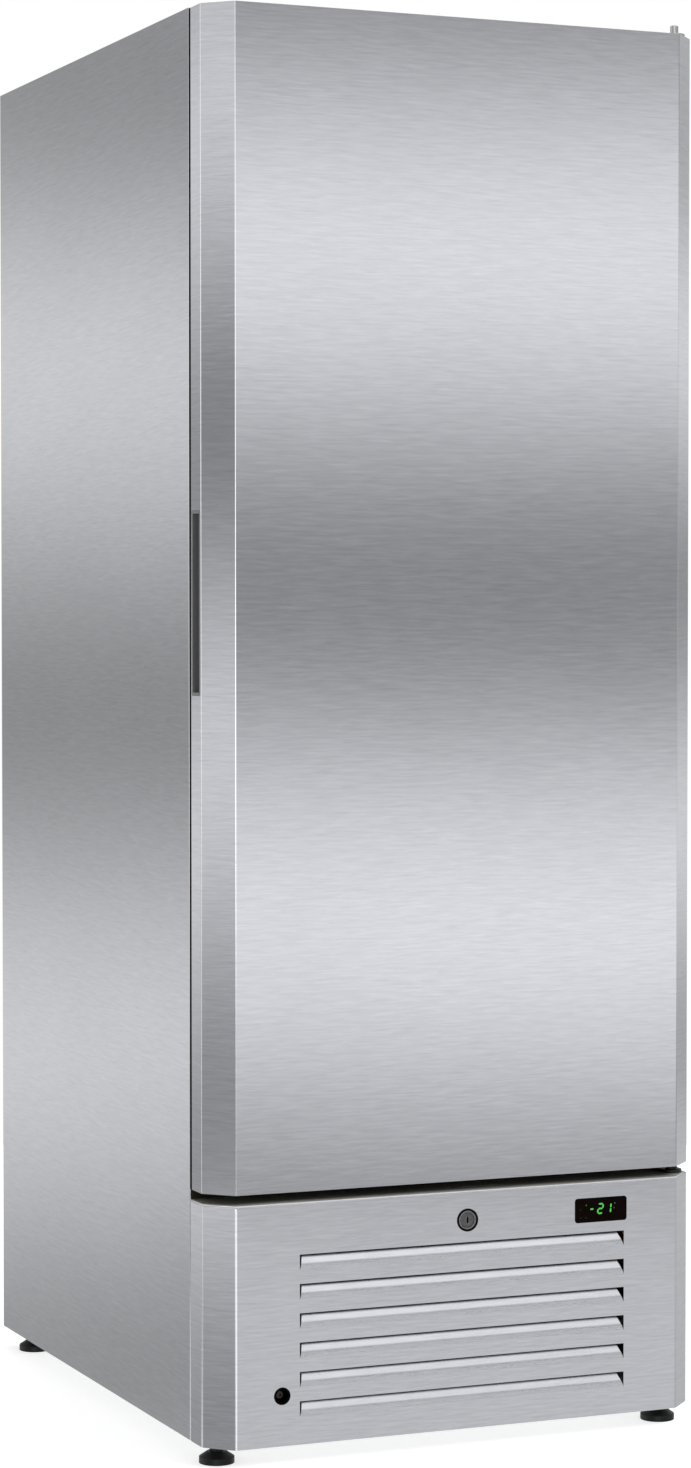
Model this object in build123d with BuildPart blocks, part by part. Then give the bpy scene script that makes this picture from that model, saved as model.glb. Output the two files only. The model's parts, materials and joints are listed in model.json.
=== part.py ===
from build123d import *
from math import radians, sqrt, tan
import os

# Upright freezer, in millimetres. +Z is up, the door faces -Y and +X is to its right.
# The origin is on the floor, under the middle of the object.

os.makedirs("parts", exist_ok=True)


# ---------------------------------------------------------------- driving dimensions

# Cabinet
cabinet_width = 700.0
cabinet_depth = 807.0
cabinet_top = 1864.5
floor_gap = 27.0
side_wall = 60.0
top_wall = 60.0
rear_wall = 70.0
mouth_rise = 60.0
box_drop = 8.0
frame_mouth_gap = 7.0
cross_rail_lap = 6.0
rear_lip = 20.0
lower_lip = 6.5

# Sheet and moulded walls
steel = 1.0
liner_wall = 1.2
bend = 1.2
clearance = 0.3
running_fit = 0.05
thread_gap = 0.1

# Liner and the strip over its edge
liner_set_back = 14.0
liner_corner = 22.0
liner_back_edge = 8.0
breaker_thickness = 2.0
breaker_return = 24.0
breaker_lap = 3.0
drain_radius = 9.0

# Door
door_bottom = 353.0
door_top_gap = 1.5
door_thickness = 69.5
seal_gap = 7.5
edge_bevel = 34.0
fold_radius = 3.0
door_back_lip = 14.0
cap_wall = 3.0
cap_rim = 12.0
plug_margin = 18.0
plug_height = 22.0
plug_draft = 12.0
plug_edge = 6.0
panel_sheet = 1.5

# Gasket
gasket_edge_gap = 0.8
gasket_hinge_gap = 20.0
gasket_base_width = 20.0
gasket_base = 1.5
gasket_lip = 1.4
magnet_width = 9.0
magnet_depth = 2.6
gasket_wall = 0.9
bellows_width = 15.0
bellows_root_wall = 1.3

# Recessed grip in the left side of the door
grip_rise = 635.0
grip_height = 236.0
grip_front_margin = 1.5
grip_frame_depth = 32.0
grip_lip = 4.0
grip_front_lip = 5.0
grip_pocket_depth = 34.0
grip_undercut = 9.0
grip_wall = 1.6
grip_corner = 4.0

# Hinges
hinge_from_side = 21.5
hinge_from_front = 38.0
hinge_pin_radius = 5.0
hinge_plate = 4.0
hinge_plate_width = 31.0
hinge_plate_reach = 70.0
hinge_nose = 14.0
pin_collar_radius = 8.0
pin_entry = 14.0
pin_tip_edge = 1.0
pin_head_radius = 5.5
pin_head_height = 11.5
bush_wall = 2.5
bush_flange = 2.0
pin_collar_gap = 1.0
hinge_screw_setback = 24.0
hinge_screw_pitch = 32.0
screw_radius = 3.0
screw_head_radius = 5.5
screw_head_height = 3.0
screw_sides = 8

# Lower front panel
panel_gap = 13.5
panel_side_gap = 0.8
panel_bend = 3.0
panel_foot_lip = 12.0
hook_spacing = 400.0
hook_width = 30.0
hook_rise = 6.0
louvre_count = 6
louvre_pitch = 37.8
louvre_drop = 67.5
louvre_height = 20.0
louvre_left_margin = 121.4
louvre_right_margin = 112.7
louvre_slit = 3.0
louvre_bend = 14.0
louvre_lean = 38.0
louvre_end_taper = 7.0

# Lock in the lower front panel
lock_x = 8.0
lock_drop = 38.5
lock_ring_radius = 15.0
lock_proud = 1.5
lock_body_radius = 12.0
lock_body_length = 24.0
lock_barrel_radius = 9.5
lock_plug_recess = 1.0
lock_nut_width = 30.0
lock_nut_thickness = 5.0
lock_cam_length = 62.0
lock_cam_width = 14.0
lock_cam_thickness = 3.0
keyhole_length = 9.0
keyhole_width = 2.4
keyhole_depth = 12.0
lock_barrel_edge = 0.6
cam_square = 8.0
keeper_gap = 2.5
keeper_end_gap = 6.0

# Temperature controller
controller_from_side = 147.1
controller_drop = 37.2
controller_width = 76.5
controller_height = 32.4
controller_corner = 4.0
controller_proud = 1.4
controller_body_width = 71.0
controller_body_height = 28.5
controller_body_length = 55.0
lens_margin = 1.8
lens_thickness = 1.1

# Screw cup at the lower left of the panel
cup_from_side = 97.0
cup_rise = 64.7
cup_radius = 11.3
cup_flange = 1.8
cup_proud = 0.5
cup_depth = 13.0
cup_wall = 1.2
panel_screw_radius = 2.5
panel_screw_head_radius = 4.8
panel_screw_length = 11.0
screw_post_width = 40.0
screw_post_foot = 20.0
screw_post_margin = 13.0

# Feet
foot_from_side = 30.0
foot_from_front = 60.0
foot_from_back = 60.0
foot_disc_radius = 23.0
foot_disc_height = 8.0
foot_stem_sides = 12
foot_cone_radius = 12.5
foot_cone_top = 15.0
foot_nut_width = 17.0
foot_nut_height = 5.0
foot_stem_radius = 4.9
foot_stem_length = 40.0

# Base tray and machine compartment
base_sheet = 2.0
base_flange = 26.0
boss_radius = 9.0
boss_height = 16.0

# Inside
shelf_count = 4
shelf_rise = 227.0
shelf_pitch = 262.0
shelf_side_gap = 3.5
shelf_front_gap = 42.0
shelf_depth = 560.0
shelf_rim = 6.0
shelf_wire = 4.0
shelf_wires = 9
pilaster_width = 20.0
pilaster_depth = 8.0
pilaster_sheet = 1.5
pilaster_setback = 90.0
pilaster_spacing = 380.0
pilaster_end_gap = 60.0
clip_reach = 11.0
clip_sheet = 2.0
slot_height = 6.0
slot_width = 8.0

# Fans
fan_radius = 92.0
fan_tip_gap = 5.0
hub_radius = 24.0
hub_length = 22.0
hub_sides = 20
blade_count = 5
blade_thickness = 2.2
blade_root_angle = 36.0
blade_tip_angle = 20.0
blade_root_chord = 30.0
blade_tip_chord = 62.0
blade_root_sink = 3.0
motor_radius = 30.0
motor_length = 34.0
motor_gap = 1.5
motor_edge = 4.0
shaft_radius = 3.0
shaft_socket = 15.0
shaft_end_gap = 1.0
arm_width = 14.0
arm_sheet = 2.0
arm_overreach = 22.0
post_width = 8.0

# Evaporator chamber and its cover
duct_depth = 78.0
duct_cover_gap = 22.0
evap_fan_rise = 917.0
evap_fan_setback = 26.0
evap_depth = 56.0
evap_side_gap = 62.0
evap_rise = 110.0
evap_passes = 7
evap_fins = 24
cover_sheet = 1.5
cover_low_gap = 55.0
cover_high_gap = 40.0
intake_slots = 9
intake_length = 380.0
intake_height = 7.0
intake_pitch = 15.0
intake_margin = 30.0
outlet_slots = 4
guard_wire = 3.0
guard_rings = 2
heater_radius = 3.2
heater_drop = 14.0
heater_front = 10.0
heater_back = 14.0
pan_rise = 22.0
pan_height = 40.0
pan_wall = 1.5
spout_gap = 2.0
spout_length = 15.0
hose_rise = 30.0
hose_sides = 16

# Finned coils
coil_tube_radius = 4.8
coil_pitch = 32.0
coil_bend_reach = 12.0
coil_bend_rise = 8.0
tube_sides = 8
fin_sheet = 0.8

# Condensing unit
condenser_width = 430.0
condenser_depth = 62.0
condenser_bottom = 52.0
condenser_passes = 7
condenser_fins = 30
condenser_fan_x = 5.0
condenser_setback = 62.0
shroud_depth = 22.0
fan_shroud_gap = 8.0
compressor_from_side = 200.0
compressor_y = 120.0
compressor_radius = 78.0
seam_lip = 4.0
compressor_height = 176.0
compressor_seat = 2.0
pot_dome = 39.0
seam_height = 97.0
compressor_foot_reach = 18.0
compressor_foot_depth = 110.0
grommet_radius = 10.0
grommet_edge = 12.0
grommet_sides = 12
start_box_width = 30.0
start_box_rise = 25.0
start_box_height = 50.0
start_box_lap = 8.0
start_box_edge = 3.0
mount_height = 16.0
pipe_radius = 4.0
pipe_bend = 16.0
pipe_sides = 6
pipe_entry = 6.0
pipe_stub_height = 127.0
pipe_side_run = 60.0
pipe_coil_gap = 1.0
drier_radius = 9.0
drier_length = 90.0
drier_side_gap = 45.0
drier_y = -150.0
drier_low = 120.0

# Evaporation tray, electrical box and rear grille
evap_tray_x = -100.0
evap_tray_width = 240.0
evap_tray_depth = 120.0
evap_tray_height = 45.0
evap_tray_corner = 18.0
evap_tray_draft = 6.0
tray_wall = 2.0
elec_width = 120.0
elec_depth = 150.0
elec_height = 110.0
elec_edge = 4.0
elec_side_gap = 10.0
elec_y = -60.0
grille_setback = 26.0
grille_sheet = 1.2
vent_rows = 9
vent_columns = 2
vent_width = 280.0
vent_height = 8.0
vent_row_pitch = 22.0
vent_column_pitch = 314.0
vent_margin = 40.0
gland_from_side = 110.0
gland_drop = 45.0
gland_bore = 4.3
gland_radius = 10.0
gland_waist = 8.0
gland_length = 24.0
gland_nut_length = 18.0
gland_inner_length = 12.0


# ---------------------------------------------------------------- places worked out from them

half_width = cabinet_width / 2
overall_depth = lock_proud + door_thickness + seal_gap + cabinet_depth
front_y = -overall_depth / 2 + lock_proud
door_back = front_y + door_thickness
cabinet_front = door_back + seal_gap
cabinet_back = cabinet_front + cabinet_depth

door_top = cabinet_top - door_top_gap
mouth_bottom = door_bottom + mouth_rise
box_floor = door_bottom - box_drop
floor_wall = mouth_bottom - box_floor

panel_top = door_bottom - panel_gap
panel_bottom = floor_gap
panel_back = cabinet_front - panel_side_gap

louvre_left = louvre_left_margin - half_width
louvre_right = half_width - louvre_right_margin
louvre_top = panel_top - louvre_drop
lock_z = panel_top - lock_drop
controller_x = half_width - controller_from_side
controller_z = panel_top - controller_drop
cup_x = cup_from_side - half_width
cup_z = panel_bottom + cup_rise

skin_x = half_width - steel
mouth_half = half_width - side_wall
mouth_top = cabinet_top - top_wall
frame_width = side_wall - frame_mouth_gap
liner_back = cabinet_back - 2 * steel - rear_wall

pin_x = half_width - hinge_from_side
pin_y = front_y + hinge_from_front
foot_x = half_width - foot_from_side
front_foot_y = front_y + foot_from_front
rear_foot_y = cabinet_back - foot_from_back
tray_top = floor_gap + base_sheet


def finish(piece, name):
    """Label a finished piece and write it to its own file."""
    piece.part.label = name
    export_step(piece.part, f"parts/{name}.step")


def bevelled_outline(back, inset=0.0, fold=fold_radius):
    """Plan of the door and the lower panel: flat front, bevelled corners, straight side returns."""
    side = half_width - inset
    front = front_y + inset
    bevel = edge_bevel - inset * (2 - sqrt(2))
    rounding = fold - inset
    with BuildSketch() as outline:
        with BuildLine():
            Polyline(
                (-side, back),
                (-side, front + bevel),
                (-side + bevel, front),
                (side - bevel, front),
                (side, front + bevel),
                (side, back),
                close=True,
            )
        make_face()
        if rounding > 0:
            folds = [corner for corner in outline.vertices() if corner.Y < back]
            fillet(folds, radius=rounding)
    return outline.sketch


def rectangle_between(left, right, low, high):
    """A rectangle given by its four sides."""
    with BuildSketch() as outline:
        with Locations(((left + right) / 2, (low + high) / 2)):
            Rectangle(right - left, high - low)
    return outline.sketch


def folded_strip(points, thickness, radius, side):
    """Section of a strip folded along the points, its thickness on one side of them."""
    with BuildSketch() as section:
        with BuildLine():
            FilletPolyline(*points, radius=radius)
            offset(amount=thickness, side=side)
        make_face()
    return section.sketch


def front_plane(y):
    """A plane that faces the door side, with X to the right and Y of the sketch upwards."""
    return Plane(origin=(0, y, 0), x_dir=(1, 0, 0), z_dir=(0, -1, 0))


def side_plane(x):
    """A plane that faces right, with X of the sketch to the back and Y of the sketch upwards."""
    return Plane(origin=(x, 0, 0), x_dir=(0, 1, 0), z_dir=(1, 0, 0))


# ---------------------------------------------------------------- cabinet skins

for name, sign in (("side_panel_left", -1), ("side_panel_right", 1)):
    # One folded sheet: the side, a flange along the front frame and a lip at the back.
    fold = [
        (sign * (half_width - frame_width), cabinet_front),
        (sign * half_width, cabinet_front),
        (sign * half_width, cabinet_back),
        (sign * (half_width - rear_lip), cabinet_back),
    ]
    inner_side = Side.LEFT if sign > 0 else Side.RIGHT
    with BuildPart() as side_panel:
        with BuildSketch(Plane.XY.offset(floor_gap)):
            add(folded_strip(fold, steel, bend, inner_side))
        extrude(amount=cabinet_top - floor_gap)
        # Below the foamed box the flange narrows to a lip, which leaves room for the hinge plate.
        with BuildSketch(front_plane(cabinet_front + steel)):
            flange = (sign * (half_width - frame_width), sign * (half_width - lower_lip))
            add(rectangle_between(min(flange), max(flange), floor_gap, box_floor - steel))
        extrude(amount=steel, mode=Mode.SUBTRACT)
    finish(side_panel, name)

with BuildPart() as top_panel:
    with BuildSketch(Plane.XY.offset(cabinet_top - steel)):
        add(rectangle_between(-skin_x, skin_x, cabinet_front + bend, cabinet_back - bend))
        add(
            rectangle_between(
                frame_width - half_width,
                half_width - frame_width,
                cabinet_front,
                cabinet_front + bend,
            )
        )
    extrude(amount=steel)
    with BuildSketch(front_plane(cabinet_front + steel)):
        add(
            rectangle_between(
                frame_width - half_width,
                half_width - frame_width,
                mouth_top + frame_mouth_gap,
                cabinet_top,
            )
        )
    extrude(amount=steel)
    front_fold = top_panel.edges().filter_by(Axis.X).group_by(Axis.Z)[-1].sort_by(Axis.Y)[:1]
    fillet(front_fold, radius=bend)
finish(top_panel, "top_panel")

with BuildPart() as back_panel:
    with BuildSketch(front_plane(cabinet_back - steel)):
        back_half = half_width - bend - clearance
        add(rectangle_between(-back_half, back_half, box_floor, cabinet_top - steel))
    extrude(amount=steel)
finish(back_panel, "back_panel")

drain_y = liner_back - liner_wall - duct_depth / 2
drain_hole = drain_radius + clearance

with BuildPart() as box_floor_panel:
    with BuildSketch(Plane.XY.offset(box_floor - steel)):
        add(rectangle_between(-skin_x, skin_x, cabinet_front + bend, cabinet_back - 2 * steel))
        add(
            rectangle_between(
                frame_width - half_width,
                half_width - frame_width,
                cabinet_front,
                cabinet_front + bend,
            )
        )
        with Locations((0, drain_y)):
            RegularPolygon(drain_hole, hose_sides, mode=Mode.SUBTRACT)
    extrude(amount=steel)
    with BuildSketch(front_plane(cabinet_front + steel)):
        add(
            rectangle_between(
                frame_width - half_width,
                half_width - frame_width,
                box_floor - steel,
                mouth_bottom - frame_mouth_gap,
            )
        )
        # The rail hangs down behind the lower panel, and stops short of the hinge plate.
        add(
            rectangle_between(
                lower_lip + clearance - half_width,
                pin_x + hinge_nose - hinge_plate_width - clearance,
                panel_top - cross_rail_lap,
                box_floor - steel,
            )
        )
    extrude(amount=steel)
finish(box_floor_panel, "box_floor_panel")


# ---------------------------------------------------------------- foamed box and liner

liner_front = cabinet_front + liner_set_back
mouth_middle = (mouth_bottom + mouth_top) / 2
mouth_height = mouth_top - mouth_bottom
cavity_depth = liner_back - cabinet_front

with BuildPart() as inner_liner:
    # Deep tub with rounded corners. Its outer faces lie flat against the foam.
    with BuildSketch(front_plane(liner_back)):
        with Locations((0, mouth_middle)):
            Rectangle(2 * mouth_half, mouth_height)
    extrude(amount=liner_back - liner_front)
    with BuildPart(mode=Mode.SUBTRACT):
        with BuildSketch(front_plane(liner_back - liner_wall)):
            with Locations((0, mouth_middle)):
                RectangleRounded(
                    2 * (mouth_half - liner_wall),
                    mouth_height - 2 * liner_wall,
                    liner_corner - liner_wall,
                )
        extrude(amount=liner_back - liner_front)
        chamfer(faces().sort_by(Axis.Y)[-1].edges(), length=liner_back_edge)
    with BuildSketch(Plane.XY.offset(mouth_bottom)):
        with Locations((0, drain_y)):
            RegularPolygon(drain_hole, hose_sides)
    extrude(amount=liner_wall, mode=Mode.SUBTRACT)
finish(inner_liner, "inner_liner")

with BuildPart() as cabinet_insulation:
    with BuildSketch(front_plane(cabinet_back - 2 * steel)):
        add(rectangle_between(-skin_x, skin_x, box_floor, cabinet_top - steel))
    extrude(amount=cabinet_depth - 2 * steel - breaker_thickness)
    with BuildSketch(front_plane(liner_back)):
        add(rectangle_between(-mouth_half, mouth_half, mouth_bottom, mouth_top))
    extrude(amount=cavity_depth, mode=Mode.SUBTRACT)
    with BuildSketch(Plane.XY.offset(box_floor)):
        with Locations((0, drain_y)):
            RegularPolygon(drain_hole, hose_sides)
    extrude(amount=floor_wall, mode=Mode.SUBTRACT)
finish(cabinet_insulation, "cabinet_insulation")

# Moulded strip that covers the liner's edge and keeps the steel frame apart from the cold.
with BuildPart() as breaker_strip:
    with BuildSketch(front_plane(cabinet_front + breaker_thickness)):
        with Locations((0, mouth_middle)):
            RectangleRounded(
                2 * (mouth_half + frame_mouth_gap) - 2 * clearance,
                mouth_height + 2 * frame_mouth_gap - 2 * clearance,
                frame_mouth_gap - clearance,
            )
            RectangleRounded(
                2 * (mouth_half - liner_wall - breaker_lap),
                mouth_height - 2 * (liner_wall + breaker_lap),
                liner_corner - breaker_lap,
                mode=Mode.SUBTRACT,
            )
    extrude(amount=breaker_thickness)
    with BuildSketch(front_plane(cabinet_front + breaker_return)):
        with Locations((0, mouth_middle)):
            RectangleRounded(
                2 * (mouth_half - liner_wall - clearance),
                mouth_height - 2 * (liner_wall + clearance),
                liner_corner - liner_wall - clearance,
            )
            RectangleRounded(
                2 * (mouth_half - liner_wall - breaker_lap),
                mouth_height - 2 * (liner_wall + breaker_lap),
                liner_corner - breaker_lap,
                mode=Mode.SUBTRACT,
            )
    extrude(amount=breaker_return)
finish(breaker_strip, "breaker_strip")


# ---------------------------------------------------------------- door

grip_back = door_back - grip_front_margin
grip_front = grip_back - grip_frame_depth
grip_middle_y = (grip_front + grip_back) / 2
grip_middle_z = door_bottom + grip_rise + grip_height / 2

with BuildPart() as door_outer_skin:
    # One sheet folded six times: front, two bevels, two sides and two lips behind.
    with BuildSketch(Plane.XY.offset(door_bottom)):
        add(bevelled_outline(door_back))
        add(bevelled_outline(door_back - steel, steel), mode=Mode.SUBTRACT)
        add(
            rectangle_between(
                door_back_lip - half_width, half_width - door_back_lip, door_back - steel, door_back
            ),
            mode=Mode.SUBTRACT,
        )
    extrude(amount=door_top - door_bottom)
    with BuildSketch(side_plane(-half_width)):
        with Locations((grip_middle_y, grip_middle_z)):
            RectangleRounded(grip_frame_depth, grip_height, grip_corner)
    extrude(amount=steel, mode=Mode.SUBTRACT)
finish(door_outer_skin, "door_outer_skin")

# The grip is moulded: a frame flush with the skin, and a pocket that opens out forwards
# inside, so that the fingers pull on its front wall.
pocket_half_height = grip_height / 2 - grip_lip
pocket_back = grip_back - grip_lip
pocket_front = grip_front + grip_front_lip
pocket_wide_front = pocket_front - grip_undercut


def grip_pocket(shell):
    """The pocket of the grip, thicker all round by the shell."""
    with BuildPart() as pocket:
        with BuildSketch(side_plane(-half_width)):
            add(
                rectangle_between(
                    pocket_front - shell,
                    pocket_back + shell,
                    grip_middle_z - pocket_half_height - shell,
                    grip_middle_z + pocket_half_height + shell,
                )
            )
        with BuildSketch(side_plane(-half_width + grip_pocket_depth + shell)):
            add(
                rectangle_between(
                    pocket_wide_front - shell,
                    pocket_back + shell,
                    grip_middle_z - pocket_half_height - shell,
                    grip_middle_z + pocket_half_height + shell,
                )
            )
        loft()
    return pocket.part


grip_bed = grip_pocket(grip_wall)
with BuildPart() as door_grip:
    add(grip_bed)
    with BuildSketch(side_plane(-half_width)):
        with Locations((grip_middle_y, grip_middle_z)):
            RectangleRounded(
                grip_frame_depth - 2 * clearance, grip_height - 2 * clearance, grip_corner
            )
    extrude(amount=steel + grip_wall)
    add(grip_pocket(0.0), mode=Mode.SUBTRACT)
finish(door_grip, "door_grip")

lock_from_front = lock_body_length + steel + clearance
cam_front = front_y + lock_from_front
cam_reach = lock_z + lock_cam_length
keeper_left = lock_x - lock_cam_width
keeper_right = lock_x + lock_cam_length
keeper_front = cam_front - keeper_gap
keeper_back = cam_front + lock_cam_thickness + keeper_gap
keeper_height = cam_reach - door_bottom + keeper_end_gap
bush_radius = hinge_pin_radius + running_fit + bush_wall

caps = (("door_bottom_cap", door_bottom, 1), ("door_top_cap", door_top, -1))
for name, edge, inward in caps:
    # A tray that closes the end of the folded skin, with a socket for the hinge bush.
    direction = (0, 0, inward)
    outer_plane = Plane(origin=(0, 0, edge), x_dir=(1, 0, 0), z_dir=(0, 0, 1))
    with BuildPart() as end_cap:
        with BuildSketch(outer_plane):
            add(bevelled_outline(door_back - steel, steel))
        extrude(amount=inward * cap_rim)
        with BuildSketch(outer_plane.offset(inward * cap_wall)):
            add(bevelled_outline(door_back - steel - cap_wall, steel + cap_wall))
        extrude(amount=inward * cap_rim, mode=Mode.SUBTRACT)
        with BuildSketch(outer_plane):
            with Locations((pin_x, pin_y)):
                Circle(bush_radius + clearance + cap_wall)
        extrude(amount=inward * (pin_entry + bush_flange))
        with BuildSketch(outer_plane):
            with Locations((pin_x, pin_y)):
                Circle(bush_radius)
        extrude(amount=inward * pin_entry, mode=Mode.SUBTRACT)
        if inward > 0:
            # Keeper slot for the cam of the lock.
            with BuildSketch(outer_plane):
                add(rectangle_between(keeper_left, keeper_right, keeper_front, keeper_back))
            extrude(amount=cap_wall, mode=Mode.SUBTRACT)
    finish(end_cap, name)

plug_half = mouth_half - plug_margin
plug_low = mouth_bottom + plug_margin
plug_high = mouth_top - plug_margin
gasket_low = door_bottom + gasket_edge_gap + gasket_base_width / 2
gasket_high = door_top - gasket_edge_gap - gasket_base_width / 2


def plug_solid(shell, low_y, high_y):
    """Raised middle of the door's inner side, with drafted sides, thinner all round by the shell."""
    with BuildPart() as plug:
        with BuildSketch(front_plane(low_y)):
            add(
                rectangle_between(
                    shell - plug_half, plug_half - shell, plug_low + shell, plug_high - shell
                )
            )
        with BuildSketch(front_plane(high_y)):
            narrow = shell + plug_draft
            add(
                rectangle_between(
                    narrow - plug_half, plug_half - narrow, plug_low + narrow, plug_high - narrow
                )
            )
        loft()
    return plug.part


plug_core = plug_solid(panel_sheet, door_back - panel_sheet, door_back + plug_height - panel_sheet)

with BuildPart() as door_inner_panel:
    # Vacuum formed: a flat rim under the gasket and a raised plug with drafted sides.
    rim_half = half_width - door_back_lip - clearance
    with BuildSketch(front_plane(door_back)):
        add(
            rectangle_between(
                -rim_half,
                rim_half,
                door_bottom + cap_rim + clearance,
                door_top - cap_rim - clearance,
            )
        )
    extrude(amount=panel_sheet)
    add(plug_solid(0.0, door_back, door_back + plug_height))
    plug_face = door_inner_panel.faces().sort_by(Axis.Y)[-1]
    fillet(plug_face.edges(), radius=plug_edge)
    add(plug_core, mode=Mode.SUBTRACT)
finish(door_inner_panel, "door_inner_panel")

with BuildPart() as door_insulation:
    foam_low = door_bottom + cap_rim
    foam_high = door_top - cap_rim
    with BuildSketch(Plane.XY.offset(foam_low)):
        add(bevelled_outline(door_back - panel_sheet, steel))
    extrude(amount=foam_high - foam_low)
    add(plug_core)
    add(grip_bed, mode=Mode.SUBTRACT)
    with BuildSketch(side_plane(-half_width)):
        with Locations((grip_middle_y, grip_middle_z)):
            RectangleRounded(grip_frame_depth, grip_height, grip_corner)
    extrude(amount=steel + grip_wall, mode=Mode.SUBTRACT)
    with BuildSketch(Plane.XY.offset(foam_low)):
        add(rectangle_between(keeper_left, keeper_right, keeper_front, keeper_back))
    extrude(amount=door_bottom + keeper_height - foam_low, mode=Mode.SUBTRACT)
    for end, inward in ((foam_low, 1), (foam_high, -1)):
        with BuildSketch(Plane.XY.offset(end)):
            with Locations((pin_x, pin_y)):
                Circle(bush_radius + 2 * clearance + cap_wall)
        extrude(amount=inward * (pin_entry + bush_flange - cap_rim + clearance), mode=Mode.SUBTRACT)
finish(door_insulation, "door_insulation")

# Gasket: base, outer lip, two bellows walls and the magnet pocket, mitred at the corners. It runs
# close to the free edges of the door, and further in beside the hinges, where the door turns.
gasket_reach = seal_gap - clearance
gasket_left = -half_width + gasket_edge_gap + gasket_base_width / 2
gasket_right = half_width - gasket_hinge_gap - gasket_base_width / 2
pocket_outer = magnet_width + 2 * gasket_wall
pocket_start = gasket_reach - magnet_depth - 2 * gasket_wall - clearance
with BuildPart() as door_gasket:
    with BuildLine(front_plane(door_back)) as gasket_path:
        Polyline(
            (gasket_left, gasket_low),
            (gasket_right, gasket_low),
            (gasket_right, gasket_high),
            (gasket_left, gasket_high),
            close=True,
        )
    section_plane = Plane(
        origin=(0, door_back, gasket_low), x_dir=(0, 0, 1), z_dir=(-1, 0, 0)
    )
    with BuildSketch(section_plane):
        outer_edge = -gasket_base_width / 2
        add(rectangle_between(outer_edge, -outer_edge, 0, gasket_base))
        add(rectangle_between(outer_edge, outer_edge + gasket_lip, 0, gasket_reach))
        with BuildLine():
            Polyline(
                (-bellows_width / 2, gasket_base),
                (-pocket_outer / 2, pocket_start),
                (-pocket_outer / 2, gasket_reach),
                (pocket_outer / 2, gasket_reach),
                (pocket_outer / 2, pocket_start),
                (bellows_width / 2, gasket_base),
                close=True,
            )
        make_face()
        with BuildLine():
            Polyline(
                (-bellows_width / 2 + bellows_root_wall, gasket_base),
                (-pocket_outer / 2 + gasket_wall, pocket_start - gasket_wall / 2),
                (pocket_outer / 2 - gasket_wall, pocket_start - gasket_wall / 2),
                (bellows_width / 2 - bellows_root_wall, gasket_base),
                close=True,
            )
        make_face(mode=Mode.SUBTRACT)
        add(
            rectangle_between(
                -magnet_width / 2,
                magnet_width / 2,
                gasket_reach - gasket_wall - magnet_depth - clearance,
                gasket_reach - gasket_wall,
            ),
            mode=Mode.SUBTRACT,
        )
    sweep(path=gasket_path.line, transition=Transition.RIGHT)
finish(door_gasket, "door_gasket")

with BuildPart() as gasket_magnets:
    # Four flexible magnet strips that lie in the pocket, short of the corners.
    magnet_half = magnet_width / 2 - clearance
    magnet_y = door_back + gasket_reach - gasket_wall
    for x in (gasket_left, gasket_right):
        with BuildSketch(front_plane(magnet_y)):
            add(
                rectangle_between(
                    x - magnet_half,
                    x + magnet_half,
                    gasket_low + magnet_width,
                    gasket_high - magnet_width,
                )
            )
        extrude(amount=magnet_depth)
    for z in (gasket_low, gasket_high):
        with BuildSketch(front_plane(magnet_y)):
            add(
                rectangle_between(
                    gasket_left + magnet_width,
                    gasket_right - magnet_width,
                    z - magnet_half,
                    z + magnet_half,
                )
            )
        extrude(amount=magnet_depth)
finish(gasket_magnets, "gasket_magnets")


# ---------------------------------------------------------------- hinges

bush_bore = hinge_pin_radius + running_fit
with BuildPart() as hinge_bushes:
    for edge, inward in ((door_bottom, 1), (door_top, -1)):
        with BuildSketch(Plane.XY.offset(edge)):
            with Locations((pin_x, pin_y)):
                Circle(bush_radius)
                Circle(bush_bore, mode=Mode.SUBTRACT)
        extrude(amount=inward * pin_entry)
finish(hinge_bushes, "hinge_bushes")


def hinge_outline():
    """Plan of a hinge plate: round nose about the pin, straight back to its screws."""
    half = hinge_plate_width / 2
    plate_x = pin_x + hinge_nose - half
    back = cabinet_front + hinge_plate_reach
    with BuildSketch() as outline:
        with Locations((pin_x, pin_y)):
            Circle(hinge_nose)
        with BuildLine():
            Polyline(
                (plate_x - half, pin_y + hinge_nose),
                (pin_x - hinge_nose, pin_y),
                (pin_x + hinge_nose, pin_y),
                (plate_x + half, back),
                (plate_x - half, back),
                close=True,
            )
        make_face()
    return outline.sketch


screw_x = pin_x + hinge_nose - hinge_plate_width / 2
first_screw_y = cabinet_front + hinge_screw_setback
screw_places = [(screw_x, first_screw_y), (screw_x, first_screw_y + hinge_screw_pitch)]
lower_plate_top = box_floor - steel
upper_plate_low = cabinet_top

with BuildPart() as bottom_hinge:
    # The plate is screwed up against the floor of the box, and its pin stands up into the door.
    with BuildSketch(Plane.XY.offset(lower_plate_top - hinge_plate)):
        add(hinge_outline())
        with Locations(*screw_places):
            RegularPolygon(screw_radius + clearance, screw_sides, mode=Mode.SUBTRACT)
    extrude(amount=hinge_plate)
    with BuildSketch(Plane.XY.offset(lower_plate_top)):
        with Locations((pin_x, pin_y)):
            Circle(pin_collar_radius)
    extrude(amount=door_bottom - pin_collar_gap - lower_plate_top)
    with BuildSketch(Plane.XY.offset(lower_plate_top)):
        with Locations((pin_x, pin_y)):
            Circle(hinge_pin_radius)
    extrude(amount=door_bottom + pin_entry - pin_collar_gap - lower_plate_top)
finish(bottom_hinge, "bottom_hinge")

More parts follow.
